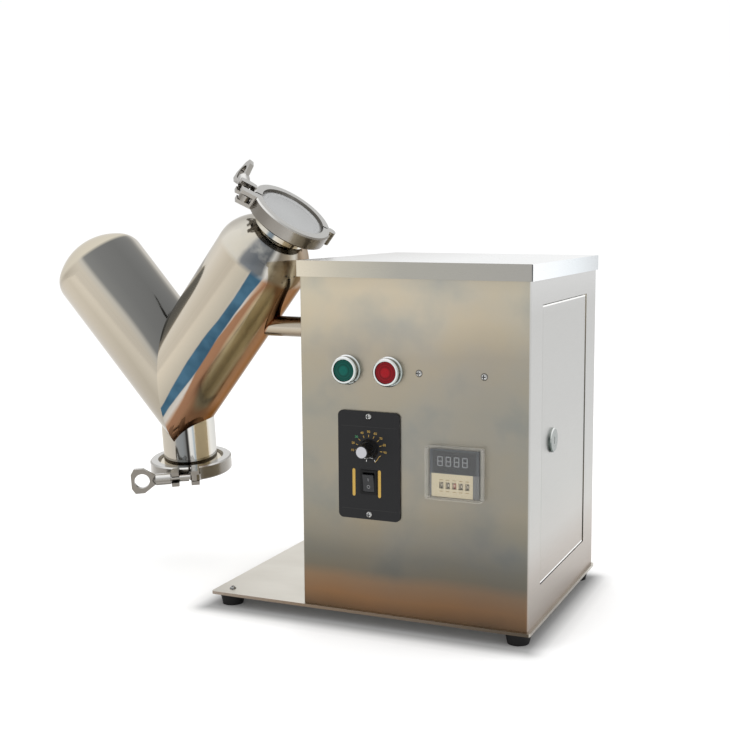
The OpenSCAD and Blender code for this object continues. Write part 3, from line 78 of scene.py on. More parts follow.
# The sheet's colour by the share of its height, at the front and at the right side, darker and
# browner towards the foot. The right side's lighter colours are painted light.
FRONT_BY_HEIGHT = [
    (0.0, (96, 78, 62)),
    (0.02, (112, 88, 68)),
    (0.05, (126, 98, 75)),
    (0.10, (124, 104, 87)),
    (0.135, (106, 102, 94)),
    (0.18, (110, 108, 102)),
    (0.235, (125, 122, 115)),
    (0.30, (138, 133, 122)),
    (0.345, (147, 141, 129)),
    (0.48, (148, 144, 135)),
    (0.62, (152, 148, 138)),
    (0.78, (165, 158, 146)),
    (0.89, (190, 181, 165)),
    (0.96, (196, 187, 170)),
    (1.0, (190, 182, 167)),
]
RIGHT_BY_HEIGHT = [
    (0.0, (152, 140, 130)),
    (0.06, (162, 154, 146)),
    (0.15, (172, 165, 158)),
    (0.24, (180, 178, 174)),
    (0.36, (176, 176, 173)),
    (0.6, (176, 176, 174)),
    (0.9, (184, 184, 182)),
    (1.0, (200, 200, 199)),
]
# Painted shade: the front is a little darker towards its right edge
FRONT_SHADE = [
    (0.0, (255, 255, 250)),
    (0.3, (255, 252, 246)),
    (0.5, (248, 248, 246)),
    (0.8, (238, 239, 239)),
    (1.0, (236, 238, 237)),
]
FRONT_CLOUD = [(0.34, (222, 231, 242)), (0.5, (248, 248, 247)), (0.66, (255, 250, 240))]
# Painted light and shade on the cover: its front and top from left to right, and its right skirt
# from front to back
COVER_FRONT = [
    (0.0, (212, 203, 184)),
    (0.2, (186, 181, 167)),
    (0.45, (163, 161, 153)),
    (1.0, (157, 155, 150)),
]
COVER_RIGHT = [
    (0.0, (248, 249, 249)),
    (0.3, (242, 246, 249)),
    (0.6, (228, 234, 238)),
    (1.0, (202, 206, 209)),
]
COVER_TOP = [(0.0, (206, 205, 203)), (0.6, (236, 237, 237)), (1.0, (238, 239, 239))]
PLATE_TOP = [(0.3, (200, 195, 184)), (0.7, (214, 210, 200))]
# The base plate's front edge from left to right, with painted shade that darkens it to the right
PLATE_EDGE = [
    (0.0, (148, 137, 126)),
    (0.3, (132, 116, 100)),
    (0.7, (112, 100, 88)),
    (1.0, (84, 76, 66)),
]

# Edges of the reflections on the right leg: (millimetres along it, degrees about it)
DARK_EDGE = [(20, -126), (43, -127), (70, -146), (104, -150), (138, -139), (158, -152), (190, -170)]
WARM_LEFT = [
    (-28, -55), (7, -57), (40, -62), (63, -65), (96, -63), (129, -60.5), (157, -56), (183, -50.5)
]
BLUE_LEFT = [(-10, -74), (20, -76.5), (50, -78), (83, -77), (115, -74), (148, -72.5), (175, -73)]
BLUE_RIGHT = [(-12, -65.5), (48, -62), (91, -63), (125, -62), (155, -60), (183, -57)]
OLIVE_LEFT = [(-5, -38), (28, -47), (63, -50), (101, -51), (136, -50), (164, -49), (180, -46)]
OLIVE_RIGHT = [(-5, -29), (4.5, -23), (43, -24), (88, -24), (127, -25), (155, -29), (180, -38)]

# Painted reflections and shade, by the cosine between a face's normal and a direction, or by
# degrees about a leg's axis
STUB = [
    (-1.0, (96, 84, 70)),
    (-0.7, (140, 126, 108)),
    (-0.35, (168, 156, 138)),
    (0.0, (178, 170, 156)),
    (0.5, (168, 160, 146)),
    (0.75, (92, 84, 73)),
    (1.0, (66, 61, 54)),
]
RIGHT_BANDS = [
    (-180, (150, 148, 142)),
    (-150, (176, 172, 164)),
    (-138, (204, 198, 186)),
    (-126, (212, 204, 190)),
    (-112, (200, 190, 173)),
    (-98, (184, 174, 157)),
    (-84, (170, 162, 147)),
    (-76, (162, 155, 141)),
    (-66, (176, 171, 162)),
    (-60, (190, 184, 176)),
    (-57, (172, 148, 128)),
    (-53, (156, 118, 90)),
    (-40, (140, 105, 78)),
    (-22, (134, 103, 75)),
    (-10, (146, 110, 84)),
    (-3, (142, 108, 84)),
    (3, (150, 122, 100)),
    (8, (168, 150, 134)),
    (16, (165, 156, 144)),
    (40, (200, 196, 188)),
    (80, (150, 148, 142)),
    (130, (205, 202, 194)),
    (180, (150, 148, 142)),
]
RIGHT_END = [
    (-180, (150, 148, 142)),
    (-150, (176, 172, 164)),
    (-130, (218, 213, 202)),
    (-104, (210, 204, 190)),
    (-96, (202, 197, 185)),
    (-89, (122, 124, 126)),
    (-76, (98, 102, 106)),
    (-63, (92, 94, 95)),
    (-57, (192, 189, 182)),
    (-50, (116, 108, 96)),
    (-36, (150, 138, 120)),
    (-24, (204, 198, 186)),
    (-14, (128, 110, 90)),
    (0, (176, 160, 142)),
    (20, (190, 184, 174)),
    (120, (180, 176, 168)),
    (180, (150, 148, 142)),
]
LEFT_BANDS = [
    (-180, (176, 172, 166)),
    (-138, (190, 186, 180)),
    (-110, (182, 173, 158)),
    (-98, (176, 167, 151)),
    (-86, (188, 179, 163)),
    (-74, (200, 191, 175)),
    (-68, (192, 187, 176)),
    (-63, (128, 128, 125)),
    (-48, (118, 118, 116)),
    (-24, (112, 112, 110)),
    (-6, (118, 118, 116)),
    (3, (124, 123, 120)),
    (9, (156, 154, 148)),
    (14, (198, 194, 186)),
    (40, (204, 202, 198)),
    (90, (140, 138, 134)),
    (140, (196, 192, 186)),
    (180, (176, 172, 166)),
]
# Painted shade along the left leg, by millimetres along it: darker towards the crossing
LEFT_FADE = [(-50, 216), (0, 228), (60, 238), (120, 249), (168, 255)]
LEFT_END = [
    (-180, (190, 186, 176)),
    (-110, (206, 198, 182)),
    (-60, (212, 204, 186)),
    (0, (214, 207, 190)),
    (90, (196, 190, 178)),
    (180, (190, 186, 176)),
]
NECK_BANDS = [
    (-180, (168, 160, 146)),
    (-150, (196, 188, 174)),
    (-128, (178, 171, 158)),
    (-102, (170, 163, 151)),
    (-89, (162, 156, 146)),
    (-84, (126, 127, 126)),
    (-70, (116, 119, 120)),
    (-64, (104, 104, 103)),
    (-61.5, (38, 36, 34)),
    (-58, (48, 46, 44)),
    (-55.5, (206, 204, 199)),
    (-49, (198, 199, 196)),
    (-46, (146, 160, 168)),
    (-43, (192, 182, 164)),
    (-14, (190, 180, 161)),
    (-6, (208, 206, 200)),
    (25, (188, 190, 190)),
    (90, (180, 176, 168)),
    (180, (168, 160, 146)),
]
LOCK = [
    (-1.0, (40, 45, 42)),
    (-0.2, (66, 74, 70)),
    (0.1, (104, 112, 108)),
    (0.5, (100, 107, 104)),
    (0.8, (196, 201, 198)),
    (1.0, (236, 238, 236)),
]
CLAMP = [
    (-1.0, (84, 79, 72)),
    (-0.5, (98, 93, 86)),
    (-0.1, (124, 119, 112)),
    (0.15, (158, 154, 148)),
    (0.3, (136, 132, 126)),
    (0.52, (126, 121, 114)),
    (0.66, (156, 153, 147)),
    (0.83, (178, 177, 174)),
    (0.92, (222, 221, 218)),
    (1.0, (236, 235, 232)),
]
COLLAR_BANDS = [
    (-180, (150, 146, 138)),
    (-142, (136, 128, 112)),
    (-126, (186, 180, 166)),
    (-106, (214, 209, 197)),
    (-93, (200, 196, 186)),
    (-86, (112, 124, 132)),
    (-77, (106, 114, 120)),
    (-72, (196, 192, 182)),
    (-50, (186, 174, 154)),
    (-28, (178, 166, 148)),
    (-12, (214, 210, 200)),
    (10, (226, 224, 216)),
    (90, (170, 166, 158)),
    (180, (150, 146, 138)),
]
CHROME = [
    (-1.0, (58, 66, 62)),
    (-0.62, (84, 92, 88)),
    (-0.5, (132, 141, 136)),
    (-0.3, (172, 178, 174)),
    (0.0, (144, 151, 147)),
    (0.3, (186, 191, 189)),
    (0.62, (204, 208, 206)),
    (0.75, (240, 241, 242)),
    (1.0, (248, 248, 249)),
]
# Screw heads: painted shade in the cross recess, on its walls and floor, and painted light on the
# domed head
SCREW = [
    (-1.0, (70, 70, 70)),
    (-0.992, (150, 150, 149)),
    (-0.97, (206, 207, 207)),
    (-0.75, (168, 168, 166)),
    (-0.35, (62, 62, 62)),
    (0.35, (62, 62, 62)),
    (0.75, (168, 168, 166)),
    (0.97, (206, 207, 207)),
    (0.992, (150, 150, 149)),
    (1.0, (70, 70, 70)),
]

# ---------------------------------------------------------------- materials


class Nodes:
    """A new material, and short ways to add and join its shader nodes."""

    def __init__(self, name, rough, metal=0.0, color=(0.5, 0.5, 0.5, 1), coat=0.0, spec=0.5):
        self.mat = bpy.data.materials.new(name)
        self.mat.use_nodes = True
        self.tree = self.mat.node_tree
        self.bsdf = self.tree.nodes["Principled BSDF"]
        self.bsdf.inputs["Base Color"].default_value = color
        self.bsdf.inputs["Roughness"].default_value = rough
        self.bsdf.inputs["Metallic"].default_value = metal
        self.bsdf.inputs["Coat Weight"].default_value = coat
        self.bsdf.inputs["Specular IOR Level"].default_value = spec
        self.coords = None

    def add(self, kind, **values):
        node = self.tree.nodes.new(kind)
        for key, value in values.items():
            setattr(node, key, value)
        return node

    def put(self, value, socket):
        """Sets a socket to a constant, or joins another node's output to it."""
        if isinstance(value, (int, float, tuple)):
            socket.default_value = value
        else:
            self.tree.links.new(value, socket)

    def object_coords(self):
        if self.coords is None:
            self.coords = self.add("ShaderNodeTexCoord").outputs["Object"]
        return self.coords

    def math(self, operation, *values, clamp=False):
        node = self.add("ShaderNodeMath", operation=operation, use_clamp=clamp)
        for socket, value in zip(node.inputs, values):
            self.put(value, socket)
        return node.outputs[0]

    def length(self, a, b):
        squares = [self.math("MULTIPLY", v, v) for v in (a, b)]
        return self.math("SQRT", self.math("ADD", *squares))

    def dot(self, vector, direction):
        node = self.add("ShaderNodeVectorMath", operation="DOT_PRODUCT")
        self.put(vector, node.inputs[0])
        self.put(direction, node.inputs[1])
        return node.outputs["Value"]

    def distance(self, direction, point):
        """Distance along direction from point, of the surface's object coordinates."""
        reach = self.dot(self.object_coords(), direction)
        return self.math("SUBTRACT", reach, Vector(direction).dot(point))

    def cosine(self, direction):
        """1 on faces that look along direction, -1 on those that look the other way."""
        normal = self.add("ShaderNodeNewGeometry").outputs["Normal"]
        return self.dot(normal, tuple(Vector(direction).normalized()))

    def looking(self, direction):
        """1 on faces that look along direction, else 0."""
        return self.span(self.cosine(direction), 0.5, 0.8)

    def span(self, value, low, high, to=(0.0, 1.0)):
        """Takes value from the range low to high to the range to, and holds it there."""
        node = self.add("ShaderNodeMapRange", clamp=True)
        names = ("Value", "From Min", "From Max", "To Min", "To Max")
        for name, part in zip(names, (value, low, high, *to)):
            self.put(part, node.inputs[name])
        return node.outputs["Result"]

    def share(self, direction, point, length):
        """0 at point to 1 at length, in millimetres, along direction."""
        return self.span(self.distance(direction, point), 0.0, length * MM)

    def between(self, value, low, high, soft):
        """1 where value lies between low and high, with soft edges, else 0."""
        masks = []
        for near, far in ((value, low), (high, value)):
            steps = self.math("DIVIDE", self.math("SUBTRACT", near, far), soft)
            masks.append(self.math("ADD", steps, 0.5, clamp=True))
        return self.math("MULTIPLY", *masks)

    def ramp(self, value, stops):
        node = self.add("ShaderNodeValToRGB")
        elements = node.color_ramp.elements
        while len(elements) < len(stops):
            elements.new(1.0)
        for element, (place, color) in zip(elements, stops):
            element.position = place
            element.color = color
        self.put(value, node.inputs["Fac"])
        return node.outputs["Color"]

    def shades(self, value, table):
        """A ramp through a table of (place from 0 to 1, screen colour)."""
        return self.ramp(value, [(place, srgb(*color)) for place, color in table])

    def course(self, value, points):
        """A number between 0 and 1 that follows points (place, number) along value."""
        low, high = points[0][0], points[-1][0]
        stops = [((place - low) / (high - low), (v, v, v, 1.0)) for place, v in points]
        return self.ramp(self.span(value, low, high), stops)

    def mix(self, amount, a, b, blend="MIX"):
        node = self.add("ShaderNodeMix", data_type="RGBA", blend_type=blend)
        for name, value in (("Factor_Float", amount), ("A_Color", a), ("B_Color", b)):
            self.put(value, next(s for s in node.inputs if s.identifier == name))
        return next(s for s in node.outputs if s.identifier == "Result_Color")

    def noise(self, scale, stretch=(1, 1, 1), detail=3.0):
        node = self.add("ShaderNodeTexNoise")
        mapping = self.add("ShaderNodeMapping")
        self.put(scale, node.inputs["Scale"])
        self.put(detail, node.inputs["Detail"])
        self.put(stretch, mapping.inputs["Scale"])
        self.put(self.object_coords(), mapping.inputs["Vector"])
        self.put(mapping.outputs["Vector"], node.inputs["Vector"])
        return node.outputs["Fac"]

    def wobble(self, amount, scale, stretch=(1, 1, 1), detail=3.0):
        """Noise about zero, so that the edges of bands aren't straight."""
        noise = self.noise(scale, stretch, detail)
        return self.math("MULTIPLY", self.math("SUBTRACT", noise, 0.5), amount)

    def bump(self, height, distance, strength=1.0):
        node = self.add("ShaderNodeBump")
        self.put(distance, node.inputs["Distance"])
        self.put(strength, node.inputs["Strength"])
        self.put(height, node.inputs["Height"])
        self.put(node.outputs["Normal"], self.bsdf.inputs["Normal"])

    def color(self, out):
        self.put(out, self.bsdf.inputs["Base Color"])

    def rough(self, value, low, high):
        self.put(self.span(value, 0.0, 1.0, (low, high)), self.bsdf.inputs["Roughness"])


def dimmed(color, share):
    return (*(share * c for c in color[:3]), 1.0)


def plain(name, color, rough, metal=0.0, grain=0.0, coat=0.0, spec=0.5):
    """A material with one colour and, where grain gives its height in metres, a fine grain."""
    n = Nodes(name, rough, metal, color, coat, spec)
    if grain:
        height = n.noise(1400.0)
        n.bump(height, grain)
        n.color(n.ramp(height, [(0.3, dimmed(color, 0.86)), (0.7, color)]))
    return n.mat


def by_cosine(n, direction, table):
    """Painted light and shade by the way a face looks: table holds (cosine to direction, screen
    colour).
    """
    share = n.span(n.cosine(direction), -1.0, 1.0)
    return n.shades(share, [((c + 1) / 2, color) for c, color in table])


def facing(name, direction, table, rough, grain=0.0):
    """Polished metal with painted reflections and shade: darker or lighter by the way a face looks.
    """
    n = Nodes(name, rough, 1.0)
    n.color(by_cosine(n, direction, table))
    if grain:
        n.bump(n.noise(500.0), grain, 0.5)
    return n.mat


def scratches(n, low, high, strength, along=(1, 1, 70), depth=0.00002):
    """Long fine scratches across the direction of along's largest number, and a roughness
    from low to high that follows them. Their height is also returned."""
    height = n.noise(40.0, along, 2.0)
    if strength:
        n.bump(height, depth, strength)
    n.rough(height, low, high)
    return height


def brushed(name, color, rough, along, depth=0.00002):
    """Brushed metal of one colour."""
    n = Nodes(name, rough, 1.0, color)
    height = scratches(n, rough * 0.8, rough * 1.25, 0.6, along, depth)
    n.color(n.ramp(height, [(0.25, dimmed(color, 0.9)), (0.75, color)]))
    return n.mat


def sheet_metal(name):
    """The cabinet's sheet: warm on the front with a brown foot, with painted shade a little darker
    to its right edge, and painted light on its sides: paler on the left, cooler on the right.
    """
    n = Nodes(name, 0.32, 1.0)
    height = n.share(UP, cab(0, 0, 0), SHEET_H)
    bent = n.math("ADD", height, n.wobble(0.05, 9.0, (1, 1, 0.6)), clamp=True)
    color = n.shades(bent, FRONT_BY_HEIGHT)
    color = n.mix(0.85, color, n.shades(n.noise(13.0, detail=4.0), FRONT_CLOUD), "MULTIPLY")
    across = n.share(RIGHT, cab(0, 0, 0), CAB_W)
    color = n.mix(1.0, color, n.shades(across, FRONT_SHADE), "MULTIPLY")
    color = n.mix(n.looking(LEFT), color, srgb(200, 191, 170))
    n.color(n.mix(n.looking(RIGHT), color, n.shades(height, RIGHT_BY_HEIGHT)))
    scratches(n, 0.28, 0.4, 0.35)
    return n.mat


def door_metal(name):
    """The door: like the right side, with painted highlights on the lips along its top and bottom
    edges.
    """
    n = Nodes(name, 0.34, 1.0)
    low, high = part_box("side_door")
    color = n.shades(n.share(UP, cab(0, 0, 0), SHEET_H), RIGHT_BY_HEIGHT)
    height = n.distance(UP, (0, 0, 0))
    # Painted highlights: bright strips on the lips along the door's bottom and top edges
    for edge, step in ((low[2], MM), (high[2], -MM)):
        ends = sorted((edge - step, edge + step * DOOR_LIP))
        color = n.mix(n.between(height, *ends, 0.0004), color, srgb(250, 250, 248))
    n.color(color)
    scratches(n, 0.3, 0.42, 0.3)
    return n.mat


def cover_metal(name):
    """The cover, with painted light and shade: its front dims to the right, its right skirt to the
    back, its top is pale.
    """
    n = Nodes(name, 0.3, 1.0)
    across = n.share(RIGHT, cab(0, 0, 0), CAB_W)
    deep = n.share(BACK, cab(0, 0, 0), CAB_D)
    color = n.shades(across, COVER_FRONT)
    color = n.mix(n.looking(RIGHT), color, n.shades(deep, COVER_RIGHT))
    n.color(n.mix(n.looking(UP), color, n.shades(across, COVER_TOP)))
    scratches(n, 0.24, 0.34, 0.0)
    return n.mat


def plate_metal(name):
    """The base plate: warm pale top, brownish front edge with painted shade that darkens it to the
    right, and painted shade on its right edge.
    """
    n = Nodes(name, 0.28, 1.0)
    cloud = n.noise(12.0, (1, 2, 1))
    edge = n.shades(n.share(RIGHT, cab(PLATE_LEFT, 0, 0), PLATE_W), PLATE_EDGE)
    color = n.mix(n.looking(FRONT), n.shades(cloud, PLATE_TOP), edge)
    n.color(n.mix(n.looking(RIGHT), color, srgb(176, 171, 162)))
    n.rough(cloud, 0.24, 0.36)
    return n.mat


MIRROR_ROUGH = 0.08
# Where the left leg's tube ends and its dished end begins, along the leg
LEFT_TUBE = 168.0
# The right leg's dished end, in metres along it, and its stub, in metres from its axis
RIGHT_DOME = (0.178, 0.184)
STUB_FAR = (0.0528, 0.0536)


def turn_share(degrees):
    """Degrees about an axis, -180 to 180, as a share from 0 to 1."""
    return (degrees + 180) / 360


def polar(n, turn, point):
    """A surface point's turn share about turn's third axis through point, its length along
    that axis and its distance from it."""
    across, up, along = (n.distance(tuple(turn.col[i]), point) for i in range(3))
    share = n.math("ADD", n.math("DIVIDE", n.math("ARCTAN2", up, across), 2 * math.pi), 0.5)
    return share, along, n.length(across, up)


def by_turn(n, share, bands):
    return n.shades(share, [(turn_share(d), color) for d, color in bands])


def polish(n):
    """Fine smears, and edges that don't whiten."""
    n.bsdf.inputs["Specular Tint"].default_value = (0.85, 0.83, 0.8, 1.0)
    n.rough(n.noise(30.0), MIRROR_ROUGH * 0.8, MIRROR_ROUGH * 1.6)


def banded(name, turn, bands, end=None, fade=None, shoulder=None):
    """Polished metal with painted reflections: soft bands that follow its axis, as a studio's
    reflections do. bands are (degrees about the axis, colour), end is (length, bands) of a
    plain end, fade is (length, grey) rows of painted shade that dim it, and shoulder is
    (direction, colour) of painted light on flat rims."""
    n = Nodes(name, MIRROR_ROUGH, 1.0)
    share, along, _ = polar(n, turn, CROSSING)
    share = n.math("ADD", share, n.wobble(0.03, 7.0, detail=1.0))
    color = by_turn(n, share, bands)
    if end:
        length, end_bands = end
        edge = n.span(along, (length - 2) * MM, (length + 2) * MM)
        color = n.mix(edge, color, by_turn(n, share, end_bands))
    if fade:
        low, high = fade[0][0], fade[-1][0]
        rows = [((length - low) / (high - low), (v, v, v)) for length, v in fade]
        grey = n.shades(n.span(along, low * MM, high * MM), rows)
        color = n.mix(1.0, color, grey, "MULTIPLY")
    if shoulder:
        direction, rim = shoulder
        color = n.mix(n.looking(direction), color, srgb(*rim))
    n.color(color)
    polish(n)
    return n.mat


def reflecting_leg(name):
    """The right leg's painted reflections: cream, a narrow dull blue band, then orange with an
    olive island, all a little bent, with a dished end of its own bands and a stub of steel with
    painted shade."""
    n = Nodes(name, MIRROR_ROUGH, 1.0)
    share, along, far = polar(n, RIGHT_LEG, CROSSING)
    ripple = n.wobble(0.005, 38.0)
    share = n.math("ADD", share, ripple)

    def edge(points):
        return n.course(along, [(length * MM, turn_share(d)) for length, d in points])

    def patch(color, low, high, soft, paint):
        return n.mix(n.between(share, low, high, soft), color, paint)

    def two_tones(noise, low, high):
        return n.shades(noise, [(0.35, low), (0.65, high)])

    color = by_turn(n, share, RIGHT_BANDS)
    color = patch(color, 0.0, edge(DARK_EDGE), 0.008, srgb(116, 113, 106))
    color = patch(color, edge(WARM_LEFT), turn_share(-48), 0.006, srgb(146, 108, 82))
    streak = two_tones(n.noise(16.0, (3, 1, 3), 2.0), (48, 76, 94), (66, 98, 118))
    color = patch(color, edge(BLUE_LEFT), edge(BLUE_RIGHT), 0.004, streak)

    island = n.between(share, edge(OLIVE_LEFT), edge(OLIVE_RIGHT), 0.018)
    island = n.math("MULTIPLY", island, n.between(along, -0.002, 0.176, 0.016))
    olive = two_tones(n.noise(26.0), (192, 178, 146), (210, 194, 158))
    olive = n.mix(n.span(along, 0.1, -0.01), olive, srgb(132, 119, 92))
    color = n.mix(island, color, olive)

    # Painted dark brown shade at the leg's foot, near the crossing
    foot = n.between(share, turn_share(-44), turn_share(2), 0.03)
    foot = n.math("MULTIPLY", foot, n.between(along, -0.2, 0.004, 0.02))
    color = n.mix(n.math("MULTIPLY", foot, 0.6), color, srgb(92, 62, 42))

    # The dished end's own painted reflections, with pale glints
    crown = by_turn(n, n.math("ADD", share, n.math("MULTIPLY", ripple, 5.0)), RIGHT_END)
    pale_glint = n.span(n.noise(42.0, detail=4.0), 0.52, 0.66)
    crown = n.mix(n.math("MULTIPLY", pale_glint, 0.45), crown, srgb(196, 194, 186))
    color = n.mix(n.span(along, *RIGHT_DOME), color, crown)
    n.color(n.mix(n.span(far, *STUB_FAR), color, by_cosine(n, UP, STUB)))

    polish(n)
    warm = n.span(share, turn_share(-70), turn_share(-40))
    tint = n.mix(warm, (0.9, 0.88, 0.85, 1.0), (0.5, 0.42, 0.36, 1.0))
    n.put(tint, n.bsdf.inputs["Specular Tint"])
    return n.mat


LENS_Z, LENS_R, LENS_PITCH = 236.5, 10.5, 2.6


def lens(name, dark, bright, x):
    """Ribbed translucent plastic: rings about the button's axis, brighter in the middle."""
    middle = tuple((a + b) / 2 for a, b in zip(dark, bright))
    n = Nodes(name, 0.35, spec=0.15)
    centre = cab(x, 0, LENS_Z)
    radius = n.length(n.distance(RIGHT, centre), n.distance(UP, centre))
    places = (0.0, 0.34, 0.55, 0.66, 0.8, 0.88, 1.0)
    colors = (bright, bright, dark, middle, dark, middle, dark)
    n.color(n.ramp(n.span(radius, 0.0, LENS_R * MM), list(zip(places, colors))))
    rings = n.math("SINE", n.math("MULTIPLY", radius, 2 * math.pi / (LENS_PITCH * MM)))
    n.bump(rings, 0.00015, 0.5)
    return n.mat


def clear_plastic(name):
    """Clear moulded plastic: its front and back are clear, its walls milky."""
    n = Nodes(name, 0.24, color=srgb(214, 212, 205), spec=0.4)
    flat = n.math("ADD", n.looking(FRONT), n.looking(BACK), clamp=True)
    n.put(n.span(flat, 0.0, 1.0, (0.42, 0.035)), n.bsdf.inputs["Alpha"])
    return n.mat


# Fields of the timer's face about its centre
PANEL_X, PANEL_Z, DISPLAY_Z, FIELD_EDGE = (-22.6, 18.4), (-40.0, -0.5), (-0.5, 40.0), 0.3


def timer_case(name):
    """The timer's case: cream panel with the wheels, dark field round the display, grey rim."""
    n = Nodes(name, 0.45)
    centre = cab(TIMER_X, 0, TIMER_Z)
    x, z = n.distance(RIGHT, centre), n.distance(UP, centre)

    def field(value, ends):
        return n.between(value, *(v * MM for v in ends), FIELD_EDGE * MM)

    panel = n.math("MULTIPLY", field(x, PANEL_X), field(z, PANEL_Z))
    color = n.mix(panel, srgb(92, 93, 93), srgb(180, 169, 142))
    n.color(n.mix(field(z, DISPLAY_Z), color, srgb(52, 57, 63)))
    return n.mat


CLAMP_LIGHT = (0.25, -0.5, 0.8)
MAT = {
    "sheet": sheet_metal("sheet"),
    "cover": cover_metal("cover"),
    "door": door_metal("door"),
    "back": brushed("back", srgb(190, 188, 182), 0.34, (1, 1, 60)),
    "base": plate_metal("base"),
    "rubber": plain("rubber", srgb(26, 26, 27), 0.75, grain=0.00006, spec=0.3),
    "chrome": facing("chrome", (-0.5, -0.6, 0.6), CHROME, 0.12),
    "screw": plain("screw", srgb(196, 196, 194), 0.2, 1.0),
    "front_screw": facing("front_screw", BACK, SCREW, 0.16),
    "foot_screw": facing("foot_screw", UP, SCREW, 0.16),
    "lock": facing("lock", (0.6, -0.3, 0.9), LOCK, 0.12),
    "black": plain("black", srgb(24, 24, 25), 0.5, grain=0.00002),
    "housing": plain("housing", srgb(10, 10, 11), 0.45, spec=0.2),
    "enamel": plain("enamel", srgb(20, 20, 22), 0.42, grain=0.00001, spec=0.25),
    "knob": plain("knob", srgb(12, 12, 13), 0.28, coat=0.1, spec=0.4),
    "rocker": plain("rocker", srgb(20, 21, 24), 0.3, coat=0.1, spec=0.4),
    "cream": plain("cream", srgb(214, 204, 176), 0.5, grain=0.00001),
    "wheel": plain("wheel", srgb(190, 182, 162), 0.45, grain=0.00001),
    "timer": timer_case("timer"),
    "clear": clear_plastic("clear"),
    "pane": plain("pane", srgb(43, 45, 49), 0.3, spec=0.3),
    "green": lens("green", srgb(0, 58, 50), srgb(6, 84, 74), 53.0),
    "red": lens("red", srgb(98, 4, 12), srgb(142, 14, 24), 96.5),
    "brass": plain("brass", srgb(205, 170, 96), 0.25, 1.0),
    "casting": plain("casting", srgb(150, 155, 160), 0.5, grain=0.00008),
    "motor": plain("motor", srgb(92, 97, 104), 0.45, grain=0.00006),
    "bolt": plain("bolt", srgb(46, 46, 48), 0.35, 0.8),
    "capacitor": plain("capacitor", srgb(50, 53, 60), 0.3),
    "bearing": plain("bearing", srgb(196, 196, 198), 0.2, 1.0),
    "stand": brushed("stand", srgb(184, 184, 184), 0.34, (1, 50, 1)),
    "shaft": facing("shaft", UP, STUB, 0.2),
    "gasket": plain("gasket", srgb(226, 226, 220), 0.6, grain=0.00002),
    "lid": brushed("lid", srgb(197, 198, 198), 0.5, (1, 1, 1), 0.00001),
    "clamp": facing("clamp", CLAMP_LIGHT, CLAMP, 0.22, grain=0.00002),
    "rod": facing("rod", CLAMP_LIGHT, CLAMP, 0.16),
    "left": banded("left", LEFT_LEG, LEFT_BANDS, (LEFT_TUBE, LEFT_END), LEFT_FADE),
    "right": reflecting_leg("right"),
    "neck": banded("neck", TILT, NECK_BANDS, shoulder=(UP, (226, 220, 206))),
    "collar": banded(
        "collar", RIGHT_LEG, COLLAR_BANDS, shoulder=(-RIGHT_LEG.col[2], (196, 188, 172))
    ),
    "gold": plain("gold", srgb(182, 148, 70), 0.45, spec=0.3),
    "silver": plain("silver", srgb(178, 178, 182), 0.34, 0.85),
    "green_mark": plain("green_mark", srgb(60, 150, 96), 0.4),
    "white_mark": plain("white_mark", srgb(226, 226, 224), 0.45),
    "faint_mark": plain("faint_mark", srgb(132, 132, 134), 0.5),
    "grey_mark": plain("grey_mark", srgb(124, 127, 130), 0.45),
    "dark_mark": plain("dark_mark", srgb(58, 58, 60), 0.5),
    "red_mark": plain("red_mark", srgb(172, 98, 86), 0.5),
    "wheel_ink": plain("wheel_ink", srgb(104, 99, 92), 0.5),
    "dash_mark": plain("dash_mark", srgb(140, 122, 88), 0.5),
    # Painted shade for the controller plate's grooves
    "groove": plain("groove", srgb(12, 12, 13), 0.6),
}

NODE_MATERIAL = {
    "base_plate": "base",
    "rubber_feet": "rubber",
    "base_screws": "foot_screw",
    "cabinet_shell": "sheet",
    "back_panel": "back",
    "top_cover": "cover",
    "casing_screws": "screw",
    "side_door": "door",
    "door_hinge_pins": "screw",
    "door_lock_body": "lock",
    "door_lock_cam": "lock",
    "start_button_ring": "chrome",
    "start_button_lens": "green",
    "stop_button_ring": "chrome",
    "stop_button_lens": "red",
    "button_lock_nuts": "black",
    "button_contact_blocks": "black",
    "terminal_strip": "cream",
    "panel_screws": "front_screw",
    "controller_body": "black",
    "controller_plate": "enamel",
    "speed_knob": "knob",
    "switch_housing": "housing",
    "switch_rocker": "rocker",
    "timer_body": "timer",
    "timer_display": "pane",
    "timer_cover": "clear",
    "timer_wheel_1": "wheel",
    "timer_wheel_2": "wheel",
    "timer_wheel_3": "wheel",
    "timer_wheel_4": "wheel",
    "timer_wheel_5": "wheel",
    "power_inlet": "black",
    "inlet_pins": "brass",
    "bearing_housing": "casting",
    "shaft_bearings": "bearing",
    "motor_stand": "stand",
    "motor": "motor",
    "gearhead": "casting",
    "drive_bolts": "bolt",
    "run_capacitor": "capacitor",
    "drive_shaft": "shaft",
    "shaft_coupling": "shaft",
    "output_shaft": "shaft",
    "left_leg": "left",
    "right_leg": "right",
    "charging_port": "collar",
    "discharge_port": "neck",
    "port_gaskets": "gasket",
    "charging_lid": "lid",
    "discharge_cap": "lid",
    "charge_clamp_pivot_half": "clamp",
    "charge_clamp_slot_half": "clamp",
    "charge_clamp_bolt": "rod",
    "charge_clamp_nut": "clamp",
    "discharge_clamp_pivot_half": "clamp",
    "discharge_clamp_slot_half": "clamp",
    "discharge_clamp_bolt": "rod",
    "discharge_clamp_nut": "clamp",
    "clamp_pins": "rod",
}
for node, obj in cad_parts.items():
    material = MAT[NODE_MATERIAL[node]]
    for slot in obj.material_slots:
        slot.material = material
    if not obj.material_slots:
        obj.data.materials.append(material)

# ---------------------------------------------------------------- small applied pieces

# Turns a drawing in the ground plane upright, to face the front
TO_FRONT = Matrix(((1, 0, 0), (0, 0, -1), (0, 1, 0)))
MARK_THICK = 0.04


def on_circle(cx, cy, rx, ry, degrees):
    angle = math.radians(degrees)
    return cx + rx * math.cos(angle), cy + ry * math.sin(angle)


